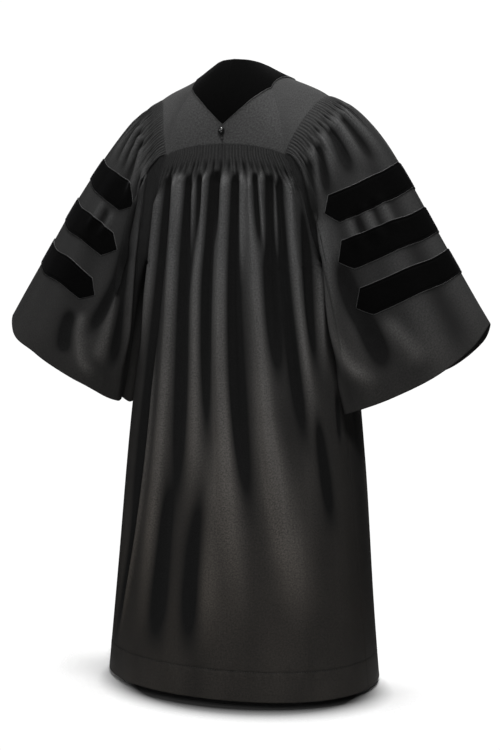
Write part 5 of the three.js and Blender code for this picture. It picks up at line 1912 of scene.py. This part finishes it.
@dataclass
class Yoke:
    """Smooth yoke with the velvet round the neck, which comes to a point at the centre back."""

    form: YokeForm
    thickness: float = 1.8
    facing_around: float = 0.84
    cord_around: float = 0.82
    wrap_inside: float = 9.0
    wrap_angles: tuple[float, ...] = (180, 150, 120, 90, 60, 30)
    under_wrap: float = 0.25
    slope_length: float = 130.0
    rim: float = 1.004
    flat: Range = (0.52, 0.42)
    flat_area: float = 0.142
    velvet_flat: Range = (0.42, 0.3)
    velvet_area: float = 0.075

    def rounds(self) -> Array:
        """Columns from the right front over the back to the left front, close at the seams."""
        form = self.form
        half = np.concatenate(
            [
                [0, 0.0012, 0.0025, 0.004, 0.006, 0.009],
                np.linspace(0.013, form.back_corner - 0.006, 40),
                form.back_corner + np.array([-0.003, 0, 0.003]),
                np.linspace(form.back_corner + 0.008, form.front_corner - 0.008, 96),
                form.front_corner + np.array([-0.003, 0, 0.003]),
                np.linspace(form.front_corner + 0.008, 0.99, 26),
                [0.996, 1],
            ]
        )
        return np.concatenate([-half[:0:-1], half])

    def surface(self, around: Array, out: Array) -> tuple[Array, Array]:
        """Points and normals of the yoke; a negative place is on the wearer's right.

        Args:
            around: Places round the neck, from -1 to 1.
            out: 0 at the neckline, 1 at the outer edge.

        Returns:
            Points and unit normals.
        """
        half = np.abs(around)
        point, normal = self.form.point(half, out), self.form.normal(half, out)
        point[..., 0] = np.where(half > 0.996, np.maximum(point[..., 0], 0.15), point[..., 0])
        normal[..., 0] = np.where(half < 0.004, 0.0, normal[..., 0])
        turn = stack(np.where(around < 0, -1.0, 1.0), 1.0, 1.0)
        return point * turn, unit(normal) * turn

    def velvet_reach(self, around: Array) -> Array:
        """How far out the velvet reaches; all of the yoke above the facings."""
        half = np.abs(around)
        widened = smoothstep(half, 0.75, self.facing_around)
        return mix(VELVET_REACH.read("reach", half), 1.0, widened)

    def make(self, tools: Tools) -> None:
        """Builds and dresses the yoke and the neck velvet."""
        wardrobe, work = tools
        rounds = self.rounds()
        near_neck, near_rim = [0, 0.008, 0.02, 0.04], [0.955, 0.975, 0.988, 0.996, self.rim]
        outs = np.concatenate([near_neck, np.linspace(0.075, 0.925, 26), near_rim])
        out, around = np.meshgrid(outs, rounds, indexing="ij")
        points, normals = self.surface(around, out)
        height = points[..., 2]
        seam = bump(points[..., 0], 0.9) * smoothstep(-height, -1197, -1190) * (points[..., 1] > 0)
        full = smoothstep(out, 0.1, 0.4) * (1 - smoothstep(out, 0.8, 1.0))
        soft = 0.5 * np.sin(points[..., 0] / 31 + height / 47) * full
        edge = rounded((self.rim - out) * self.slope_length, 3.2)
        groove = 0.45 * bump((1.0 - out) * self.slope_length - 4.5, 1.1)
        lift = edge + soft - 0.9 * seam - groove - 0.5
        outer = points + normals * lift[..., None]
        inner = points - normals * self.thickness
        yoke = Mesher.wall("yoke_cloth", outer, inner, bulge=0.5)
        dress(yoke, wardrobe.yoke_twill, "yoke_cloth", "yoke")
        edge_line = (points + normals * -0.3)[-1]
        sizes = {"radius": 0.0007, "step": 0.002}
        piping = work.run("yoke_edge_cord", work.cord, [edge_line], wardrobe.thread, **sizes)
        dress(piping, None, "yoke_cloth")
        self._make_velvet(wardrobe, work)

    def _make_velvet(self, wardrobe: Wardrobe, work: NodeWork) -> None:
        """Velvet round the neck, turned over the neckline.

        Args:
            wardrobe: The finishes.
            work: The Geometry Nodes trees.
        """
        rounds = self.rounds()
        near, far = [0, 0.01, 0.03, 0.06], [0.94, 0.965, 0.982, 0.993, 1]
        shares = np.concatenate([near, np.linspace(0.1, 0.9, 24), far])
        share, around = np.meshgrid(shares, rounds, indexing="ij")
        out = share * self.velvet_reach(around)
        points, normals = self.surface(around, out)
        border = np.linalg.norm(points - self.surface(around, self.velvet_reach(around))[0], axis=-1)
        lift = VELVET_LAY + VELVET_THICK * rounded(border + 0.25, 2.4)
        outer = points + normals * lift[..., None]
        inner = points + normals * self.under_wrap
        neck, neck_normal = points[0], normals[0]
        back_way = unit(neck - points[2])
        half = self.thickness / 2
        centre = neck - neck_normal * half
        reach = half + VELVET_LAY + VELVET_THICK
        turned, turned_inner = [], []
        for depth in (self.wrap_inside, self.wrap_inside / 2):
            inside = neck - back_way * depth
            turned.append(inside - neck_normal * (half + reach))
            turned_inner.append(inside - neck_normal * (self.thickness + self.under_wrap))
        for angle in np.radians(self.wrap_angles):
            way = neck_normal * math.cos(angle) + back_way * math.sin(angle)
            turned.append(centre + way * reach)
            turned_inner.append(centre + way * (half + self.under_wrap))
        outer, inner = np.concatenate([turned, outer]), np.concatenate([turned_inner, inner])
        velvet = Mesher.wall("neck_velvet_band", outer, inner, bulge=VELVET_BULGE)
        dress(velvet, wardrobe.velvet, "velvet", "neck_velvet")
        line = (points + normals * 1.3)[-1][np.abs(rounds) < self.cord_around]
        cord = sew_cord("neck_edge_cord", line, wardrobe, work, radius=0.0011, step=0.0015)


RIGHT_SLEEVE_CREASES = (
    Crease(
        ((0.3, 0.2), (0.307, 0.33), (0.33, 0.49), (0.348, 0.63), (0.33, 0.756), (0.3, 0.856), (0.25, 0.95)),
        8,
        13,
        1.3,
        0.25,
        0.15,
    ),
    Crease(
        ((0.262, 0.42), (0.27, 0.475), (0.263, 0.625), (0.247, 0.725), (0.237, 0.825), (0.235, 0.93)),
        -8,
        15,
        1.5,
        0.3,
        0.3,
    ),
    Crease(((0.21, 0.72), (0.197, 0.79), (0.183, 0.87), (0.17, 0.97)), 5, 16, 1.4, 0.3, 0.3),
    Crease(((0.345, 0.1), (0.365, 0.25), (0.385, 0.45), (0.385, 0.7), (0.37, 0.9)), -9, 12, 1.5, 0.15, 0.25),
    Crease(((0.41, 0.2), (0.43, 0.5), (0.42, 0.85)), 6, 14, 1.3, 0.2, 0.3),
    Crease(((0.18, 0.07), (0.203, 0.17), (0.227, 0.26)), 6, 8, 1.6, 0.15, 0.6),
    Crease(((0.11, 0.07), (0.117, 0.2), (0.117, 0.31)), 6, 10, 1.6, 0.15, 0.6),
    Crease(((0.057, 0.07), (0.05, 0.24), (0.03, 0.36)), 5, 9, 1.6, 0.15, 0.6),
    Crease(((0.23, 0.07), (0.263, 0.144), (0.29, 0.231), (0.3, 0.3)), 6, 8, 1.5, 0.15, 0.5),
    Crease(((0.205, 0.09), (0.235, 0.18), (0.26, 0.27)), -7, 8, 1.5, 0.15, 0.5),
    Crease(((0.145, 0.09), (0.155, 0.2), (0.165, 0.3)), -6, 10, 1.5, 0.15, 0.5),
    Crease(((0.082, 0.09), (0.084, 0.22), (0.075, 0.33)), -6, 9, 1.5, 0.15, 0.5),
    Crease(((0.26, 0.09), (0.295, 0.18), (0.325, 0.3)), -7, 9, 1.5, 0.15, 0.5),
    Crease(((0.213, 0.35), (0.215, 0.42), (0.21, 0.5)), 3.5, 9, 1.1, 0.3, 0.4),
    Crease(((0.165, 0.36), (0.165, 0.45), (0.16, 0.52)), 3.5, 9, 1.1, 0.3, 0.4),
    Crease(((0.118, 0.38), (0.118, 0.46), (0.115, 0.54)), 3.5, 9, 1.1, 0.3, 0.4),
    Crease(((0.19, 0.36), (0.19, 0.44), (0.185, 0.52)), -3.5, 9, 1.1, 0.3, 0.4),
    Crease(((0.142, 0.37), (0.142, 0.46), (0.138, 0.53)), -3.5, 9, 1.1, 0.3, 0.4),
)
LEFT_SLEEVE_CREASES = (
    Crease(
        ((0.25, 0.1), (0.32, 0.16), (0.353, 0.22), (0.38, 0.406), (0.4, 0.663), (0.39, 0.9)),
        9,
        12,
        1.5,
        0.15,
        0.25,
    ),
    Crease(
        ((0.27, 0.12), (0.307, 0.269), (0.313, 0.513), (0.285, 0.68), (0.262, 0.78), (0.26, 0.856)),
        -9,
        11,
        1.5,
        0.15,
        0.25,
    ),
    Crease(((0.345, 0.3), (0.35, 0.5), (0.35, 0.7), (0.34, 0.9)), -7, 11, 1.4, 0.2, 0.25),
    Crease(((0.315, 0.55), (0.31, 0.663), (0.303, 0.788), (0.293, 0.913)), 7, 12, 1.4, 0.2, 0.2),
    Crease(((0.23, 0.74), (0.237, 0.838), (0.262, 0.93), (0.3, 0.95)), 6, 12, 1.3, 0.2, 0.2),
    Crease(((0.205, 0.76), (0.205, 0.85), (0.22, 0.95)), -5, 14, 1.3, 0.3, 0.3),
    Crease(((0.077, 0.1), (0.107, 0.2), (0.15, 0.26)), 6, 9, 1.5, 0.15, 0.5),
    Crease(((0.03, 0.1), (0.05, 0.2), (0.075, 0.3)), 5, 9, 1.5, 0.15, 0.5),
    Crease(((0.14, 0.1), (0.175, 0.18), (0.2, 0.25)), 6, 9, 1.5, 0.15, 0.5),
    Crease(((0.19, 0.1), (0.235, 0.18), (0.27, 0.3)), 6, 9, 1.5, 0.15, 0.5),
    Crease(((0.055, 0.1), (0.08, 0.2), (0.11, 0.28)), -6, 9, 1.5, 0.15, 0.5),
    Crease(((0.11, 0.1), (0.14, 0.18), (0.18, 0.27)), -6, 9, 1.5, 0.15, 0.5),
    Crease(((0.165, 0.1), (0.205, 0.18), (0.24, 0.28)), -7, 9, 1.5, 0.15, 0.5),
    Crease(((0.215, 0.36), (0.217, 0.41), (0.21, 0.48)), 3.5, 9, 1.1, 0.3, 0.4),
    Crease(((0.165, 0.37), (0.165, 0.44), (0.16, 0.51)), 3.5, 9, 1.1, 0.3, 0.4),
    Crease(((0.19, 0.37), (0.19, 0.43), (0.185, 0.5)), -3.5, 9, 1.1, 0.3, 0.4),
)


@dataclass(frozen=True)
class Bar:
    """A velvet bar's outline on its sleeve, as rounds and shares of the sleeve's length."""

    place: str
    outer: tuple[float, float]
    half: tuple[float, float]
    top: tuple[float, float]
    tip: tuple[float, float]
    end: tuple[float, float]


LEFT_BARS = (
    Bar("upper", (0.304, 0.397), (0.271, 0.376), (0.25, 0.215), (0.3, 0.26), (0.24, 0.337)),
    Bar("middle", (0.485, 0.584), (0.452, 0.55), (0.248, 0.418), (0.282, 0.451), (0.229, 0.526)),
    Bar("lower", (0.67, 0.765), (0.63, 0.728), (0.226, 0.619), (0.248, 0.664), (0.212, 0.718)),
)
RIGHT_BARS = (
    Bar("upper", (0.363, 0.462), (0.313, 0.41), (0.249, 0.251), (0.28, 0.288), (0.238, 0.359)),
    Bar("middle", (0.537, 0.632), (0.47, 0.57), (0.249, 0.414), (0.273, 0.471), (0.234, 0.532)),
    Bar("lower", (0.702, 0.794), (0.637, 0.733), (0.235, 0.6), (0.257, 0.654), (0.223, 0.708)),
)


@dataclass
class Sleeve:
    """Bell sleeve with a fluted head and three velvet bars."""

    form: SleeveForm
    side: Side
    bars: tuple[Bar, ...]
    gathers: Gathers
    columns_per_flute: int = 6
    under_columns: int = 34
    hem_share: float = 0.96
    hem_wall: float = 2.0
    bar_halfway: float = 0.14
    bar_corner: float = 0.82
    flat: Range = (1.0, 0.66)
    flat_area: float = 0.42

    def rounds(self) -> Array:
        """Columns from the underarm (0.5) by the front and the shoulder (1) to the underarm (1.5)."""
        corner = self.form.corner
        head = np.linspace(1 - corner, 1 + corner, self.gathers.flutes * self.columns_per_flute + 1)
        front = np.linspace(0.5, 1 - corner, self.under_columns + 1)[:-1]
        back = np.linspace(1 + corner, 1.5, self.under_columns + 1)[1:-1]
        return np.concatenate([front, head, back])

    def downs(self) -> Array:
        """Rows as shares of the length, close together in the gathers and at the hem."""
        held = np.array([-0.006, 0, 0.004, 0.01, 0.018, 0.026, 0.034, 0.042, 0.05, 0.058])
        let_go = np.arange(0.065, 0.2, 0.007)
        open_cloth = np.arange(0.2, 0.955, 0.0125)
        hem = np.array([0.96, 0.97, 0.98, 0.99, 0.996, 1.0])
        return np.concatenate([held, let_go, open_cloth, hem])

    def cloth(self) -> Cloth:
        """Outer points with every fold.

        Returns:
            The sleeve's cloth as a left sleeve.
        """
        rounds, downs = self.rounds(), self.downs()
        around = np.mod(rounds, 1.0)
        base, lengths = self.form.grid(around, downs)
        normals = grid_normals(base, True, -1.0)
        normals[0] = normals[1]
        signed, down = np.meshgrid(rounds - 1, downs)
        phase = (signed + self.form.corner) / (2 * self.form.corner) * self.gathers.flutes
        below = np.maximum(down * lengths[None, :], 0)
        on_head = (phase >= 0) & (phase <= self.gathers.flutes)
        rise = np.where(on_head, self.gathers.rise(np.clip(phase, 0, self.gathers.flutes), below), 0.0)
        plain = Cloth(rounds, downs, base, normals, True)
        folds = creased(base, self.creases(), lambda u, v: plain.at(1 + u, v)[0])
        grow = smoothstep(below, 20, 62) * (1 - 0.6 * smoothstep(down, 0.9, 1.0))
        waves = soft_waves(signed * 1500, down * 300, 31 + self.side.value, 130, 0.9)
        rise = rise + grow * (folds + waves * smoothstep(down, 0.15, 0.4))
        rise = rise - bump((0.5 - np.abs(signed)) * 900, 2.2)
        points = base + normals * rise[..., None]
        points[0] -= normals[0] * 2.0
        return Cloth(rounds, downs, points, grid_normals(points, True, -1.0), True, rise)

    def creases(self) -> list[Crease]:
        """All creases of this sleeve, on its back and its front.

        Returns:
            The creases, in rounds and shares of the length.
        """
        found = []
        for crease in LEFT_SLEEVE_CREASES if self.side is Side.LEFT else RIGHT_SLEEVE_CREASES:
            for way in (1, -1):
                line = tuple((way * around, down) for around, down in crease.line)
                found.append(replace(crease, line=line))
        return found

    def make(self, tools: Tools) -> None:
        """Builds and dresses the sleeve and its bars."""
        word = self.side.word
        cloth = self.cloth()
        thick = np.where(cloth.v > self.hem_share, self.hem_wall, WALL)[:, None, None]
        outer = mirrored(cloth.points, self.side)
        inner = mirrored(cloth.points - cloth.normals * thick, self.side)
        sleeve = Mesher.wall(f"sleeve_cloth_{word}", outer, inner, closed=True, fold=cloth.fold)
        dress(sleeve, tools[0].twill, "cloth", f"sleeve_{word}")
        for bar in self.bars:
            self._make_bar(bar, cloth, *tools)

    def _bar_edges(self, bar: Bar, along: Array) -> tuple[Array, Array]:
        """Upper and lower edge of a bar.

        Args:
            bar: The bar.
            along: -1 at the front's point, 1 at the back's.

        Returns:
            The places of the upper and the lower edge.
        """
        share = np.abs(along)
        past = np.clip((share - self.bar_corner) / (1 - self.bar_corner), 0, 0.97)
        before = np.clip(share / self.bar_corner, 0, 1)
        edges = []
        for number, corner in ((0, bar.top), (1, bar.end)):
            rows = (
                (-self.bar_halfway, bar.half[number]),
                (0.0, bar.outer[number]),
                (self.bar_halfway, bar.half[number]),
                corner,
            )
            reached = before * corner[0]
            down = Table("around down", rows).read("down", reached)
            around = mix(reached, bar.tip[0], past)
            down = mix(down, bar.tip[1], past)
            edges.append(np.stack([np.sign(along + 1e-12) * around, down], -1))
        return edges[0], edges[1]

    def _make_bar(self, bar: Bar, cloth: Cloth, wardrobe: Wardrobe, work: NodeWork) -> None:
        """One velvet bar with its corded edge.

        Args:
            bar: The bar.
            cloth: The sleeve's cloth.
            wardrobe: The finishes.
            work: The Geometry Nodes trees.
        """
        word = f"{bar.place}_{self.side.word}"
        corner = self.bar_corner
        half = np.concatenate([np.linspace(0, corner, 56)[1:], np.linspace(corner, 1, 22)[1:]])
        along = np.concatenate([-half[::-1], [0.0], half])
        shares = np.concatenate([[0, 0.007, 0.018, 0.035, 0.055, 0.075, 0.1], np.linspace(0.15, 0.85, 12)])
        shares = np.concatenate([shares, 1 - np.array([0.1, 0.075, 0.055, 0.035, 0.018, 0.007, 0])])
        upper, lower = self._bar_edges(bar, along)
        share = shares[:, None, None]
        place = upper[None] * (1 - share) + lower[None] * share
        points, normals = cloth.at(1 + place[..., 0], place[..., 1])
        to_upper = np.linalg.norm(points - points[:1], axis=-1)
        to_lower = np.linalg.norm(points - points[-1:], axis=-1)
        border = np.minimum(to_upper, to_lower)
        lift = VELVET_LAY + VELVET_THICK * rounded(border + 0.3, 2.4) - 0.8 * bump(border - 4.4, 0.8)
        places = (points, normals)
        velvet = lay_velvet(f"bar_velvet_{word}", f"bar_{word}", places, lift, self.side, wardrobe)
        edge = points + normals * 1.2
        line = mirrored(np.concatenate([edge[0], edge[-1, ::-1], edge[0, :1]]), self.side)
        cord = sew_cord(f"bar_cord_{word}", line, wardrobe, work)
        length = float(np.sum(np.linalg.norm(np.diff(points[len(points) // 2], axis=0), axis=-1)))


@dataclass
class ButtonAndCord:
    """Acorn button below the velvet's point, wound with silk, and its knotted cord."""

    yoke: Yoke
    height: float = 1197.0
    radius: float = 8.0
    length: float = 19.0
    away: float = 6.95
    cord_radius: float = 1.1
    cord_heights: tuple[float, ...] = (1190, 1187, 1182, 1177, 1172, 1169)
    sides: int = 96
    steps: int = 40
    ridges: int = 16

    def on_yoke(self, height: float, away: float) -> Array:
        """Point of the centre back at a height, so far out from the yoke."""
        centre = np.zeros(1)
        out = share_where(lambda at: self.yoke.form.point(centre, at)[..., 2] > height, centre, 30)
        point, normal = self.yoke.surface(centre, out)
        return (point + normal * away)[0]

    def make(self, tools: Tools) -> None:
        """Builds and dresses the button, its cap and its cord."""
        wardrobe, work = tools
        seat = self.on_yoke(self.height, self.away)
        t = np.linspace(0, 1, self.steps + 1)
        turn = np.linspace(0, 2 * np.pi, self.sides, endpoint=False)
        share, angle = np.meshgrid(t, turn, indexing="ij")
        radius = self.radius * np.sin(np.pi * np.clip(share, 0.004, 0.996)) ** 0.62 * mix(0.82, 1.06, share)
        below_cap = 1 - smoothstep(share, 0.6, 0.64)
        wound = 0.03 * np.abs(np.sin(self.ridges * angle / 2 + 2.2 * share)) * below_cap
        cap = 0.05 * smoothstep(share, 0.62, 0.66) + 0.015 * np.sin(share * 90) * smoothstep(share, 0.64, 0.7)
        radius = radius * (0.97 + wound + cap - 0.03)
        lathe = stack(radius * np.cos(angle), radius * np.sin(angle), self.length * (share - 0.5))
        vertices = to_frame(lathe + np.array([0.0, seat[1], self.height]))
        rows, columns = share.shape
        r, c = np.meshgrid(np.arange(rows - 1), np.arange(columns), indexing="ij")
        after = (c + 1) % columns
        corners = [r * columns + c, r * columns + after, (r + 1) * columns + after, (r + 1) * columns + c]
        quads = np.stack(corners, -1).reshape(-1, 4)
        caps = [self._cap(0, columns, True), self._cap(rows - 1, columns, False)]
        button = Mesher.solid("acorn_button", vertices.reshape(-1, 3), np.concatenate([quads, *caps]))
        dress(button, wardrobe.button, "button", "button")
        route = np.array([self.on_yoke(height, self.cord_radius + 0.3) for height in self.cord_heights])
        numbers, places = np.arange(len(route)), np.linspace(0, len(route) - 1, 26)
        fine = np.stack([np.interp(places, numbers, route[:, axis]) for axis in range(3)], -1)
        knot_centre = self.on_yoke(1182.0, 2.4)
        angle = np.linspace(0, 4 * np.pi, 40)
        knot = knot_centre + stack(2.1 * np.cos(angle), 0.9 * np.sin(angle), np.linspace(-1.6, 1.6, 40))
        cord = work.run(
            "button_cord_silk", work.cord, [fine, knot], wardrobe.cord, radius=0.0011, step=0.0006, twist=0.004
        )
        dress(cord, None, "button", "button_cord")

    @staticmethod
    def _cap(row: int, columns: int, lower: bool) -> Array:
        """Faces that close an end ring, as strips across it."""
        first = row * columns
        half = columns // 2
        strips = []
        for k in range(half - 1):
            quad = [first + k, first + k + 1, first + columns - 2 - k, first + columns - 1 - k]
            strips.append(quad[::-1] if lower else quad)
        return np.array(strips)


@dataclass(frozen=True)
class Light:
    """A soft studio light."""

    name: str
    place: tuple[float, float, float]
    size: float
    power: float
    target: tuple[float, float, float] = (0.0, 0.0, -0.55)


@dataclass
class Studio:
    """Pale floor with a painted shadow under the hem, soft light and the camera at the photograph's angle."""

    camera_place: tuple[float, float, float] = (-1409.1, 3871.5, 8.1)
    heading: float = 20.0
    pitch: float = 8.9
    aim_pixels: float = 5.5
    focal_pixels: float = 1904.0
    sensor: float = 36.0
    frame_pixels: float = 750.0
    floor_drop: float = 12.0
    floor_size: float = 4.0
    floor_full: float = 0.325
    floor_reach: float = 0.46
    floor_narrow: float = 1.3
    # Offset, full size and outer size of the painted shadow's oval on the floor.
    painted_shadow_place: tuple[float, float, float] = (0.03, -0.085, 0.0)
    painted_shadow_full: float = 0.25
    painted_shadow_reach: float = 0.335
    pale: float = 0.86
    lights: tuple[Light, ...] = (
        Light("key", (-1.3, 3.3, 2.3), 1.0, 116.0, (0.0, 0.0, -0.45)),
        Light("fill", (2.7, 2.4, 0.6), 1.4, 22.0),
        Light("lead", (0.3, -3.2, 2.6), 1.6, 60.0),
        Light("hem", (-0.7, 2.0, -0.95), 0.8, 9.0, (0.0, 0.0, -1.2)),
    )
    sun_strength: float = 3.2
    sun_angle: float = 25.0
    sun_way: tuple[float, float, float] = (0.02, 0.08, -1.0)

    def make(self) -> None:
        """Builds the floor, the lights, the world and the camera."""
        self._floor()
        self._world()
        for light in self.lights:
            self._lamp(light)
        self._sun()
        self._camera()

    def _floor(self) -> None:
        """Wide pale floor just below the hem, with a painted shadow: its colour goes to black in an oval under
        the hem.
        """
        half = self.floor_size / 2
        level = -(ORIGIN_HEIGHT + self.floor_drop) * METRES
        corners = [(-half, -half, level), (half, -half, level), (half, half, level), (-half, half, level)]
        floor = Mesher.solid("floor", np.array(corners), np.array([[0, 1, 2, 3]]))
        material = bpy.data.materials.new("pale_floor")
        material.use_nodes = True
        shader = material.node_tree.nodes["Principled BSDF"]
        shader.inputs["Roughness"].default_value = 0.7
        graph = Graph(material.node_tree)
        place = graph.node("ShaderNodeTexCoord").outputs["Object"]
        moved = graph.vector("ADD", place, self.painted_shadow_place).outputs[0]
        fading = graph.span(self._away(graph, place), self.floor_full, self.floor_reach, 1.0, 0.0)
        # Painted shadow: the floor's colour is black in an oval under the hem and fades to pale outside it.
        shade = graph.span(self._away(graph, moved), self.painted_shadow_full, self.painted_shadow_reach, 0.0, self.pale)
        graph.put(shader.inputs["Alpha"], fading)
        graph.put(shader.inputs["Base Color"], shade)
        floor.data.materials.append(material)

    def _away(self, graph: Graph, place: bpy.types.NodeSocket) -> bpy.types.NodeSocket:
        """Distance from the middle, in ovals like the hem's."""
        narrowed = graph.vector("MULTIPLY", place, (1.0, self.floor_narrow, 0.0))
        return graph.vector("LENGTH", narrowed.outputs[0]).outputs["Value"]

    def _world(self) -> None:
        """White surroundings to look at, with a dimmer light from them."""
        world = bpy.data.worlds.new("studio")
        world.use_nodes = True
        bpy.context.scene.world = world
        graph = Graph(world.node_tree)
        background = world.node_tree.nodes["Background"]
        background.inputs["Color"].default_value = (1.0, 1.0, 1.0, 1.0)
        seen = graph.node("ShaderNodeLightPath").outputs["Is Camera Ray"]
        graph.put(background.inputs["Strength"], graph.math("MULTIPLY_ADD", seen, 1.0, 0.04))

    @staticmethod
    def _lamp(light: Light) -> None:
        """One area light."""
        data = bpy.data.lights.new(light.name, "AREA")
        data.shape = "DISK"
        data.size = light.size
        data.energy = light.power
        lamp = bpy.data.objects.new(light.name, data)
        lamp.location = light.place
        lamp.rotation_mode = "QUATERNION"
        way = Vector(light.target) - Vector(light.place)
        lamp.rotation_quaternion = way.to_track_quat("-Z", "Y")
        bpy.context.scene.collection.objects.link(lamp)

    def _sun(self) -> None:
        """Wide even light from above, which also keeps the floor white far away."""
        data = bpy.data.lights.new("sky", "SUN")
        data.energy = self.sun_strength
        data.angle = math.radians(self.sun_angle)
        lamp = bpy.data.objects.new("sky", data)
        lamp.rotation_mode = "QUATERNION"
        lamp.rotation_quaternion = Vector(self.sun_way).to_track_quat("-Z", "Y")
        bpy.context.scene.collection.objects.link(lamp)

    def _camera(self) -> None:
        """Camera at the photograph's angle."""
        heading, pitch = math.radians(self.heading), math.radians(self.pitch)
        yaw = math.atan(self.aim_pixels / self.focal_pixels)
        level = np.array([math.sin(heading), -math.cos(heading), 0.0])
        right = np.array([-math.cos(heading), -math.sin(heading), 0.0])
        way = (level * math.cos(yaw) + right * math.sin(yaw)) * math.cos(pitch)
        way[2] = -math.sin(pitch)
        data = bpy.data.cameras.new("camera")
        data.sensor_width = self.sensor
        data.lens = self.focal_pixels / self.frame_pixels * self.sensor
        data.dof.use_dof = False
        camera = bpy.data.objects.new("camera", data)
        camera.location = Vector(self.camera_place) * METRES
        camera.rotation_mode = "QUATERNION"
        camera.rotation_quaternion = Vector(way).to_track_quat("-Z", "Y")
        bpy.context.scene.collection.objects.link(camera)
        bpy.context.scene.camera = camera


def main() -> None:
    """Builds every piece of the gown and its studio."""
    logging.basicConfig(level=logging.INFO, format="%(name)s: %(message)s")
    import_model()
    bpy.context.scene.view_settings.view_transform = "Standard"
    tools = Wardrobe.open(), NodeWork()
    body = Body()
    yoke_form = YokeForm(body)
    yoke = Yoke(yoke_form)
    pieces = [
        yoke,
        BackPanel(body),
        FrontPanel(body, Side.LEFT),
        FrontPanel(body, Side.RIGHT),
        Sleeve(
            SleeveForm(yoke_form, body, Hang(drop=25, lift=8, under=0, front=-18, slump=0.2)),
            Side.LEFT,
            LEFT_BARS,
            Gathers(flutes=56, seed=41, band=38.0, pinch_depth=4.0, let_go=80.0),
        ),
        Sleeve(
            SleeveForm(yoke_form, body, Hang(drop=0, lift=0, under=14, front=12, slump=-0.05)),
            Side.RIGHT,
            RIGHT_BARS,
            Gathers(flutes=56, seed=57, band=38.0, pinch_depth=4.0, let_go=80.0),
        ),
        ButtonAndCord(yoke),
    ]
    for piece in pieces:
        piece.make(tools)
        log.info("%s is done", type(piece).__name__)
    Studio().make()


if __name__ == "__main__":
    main()
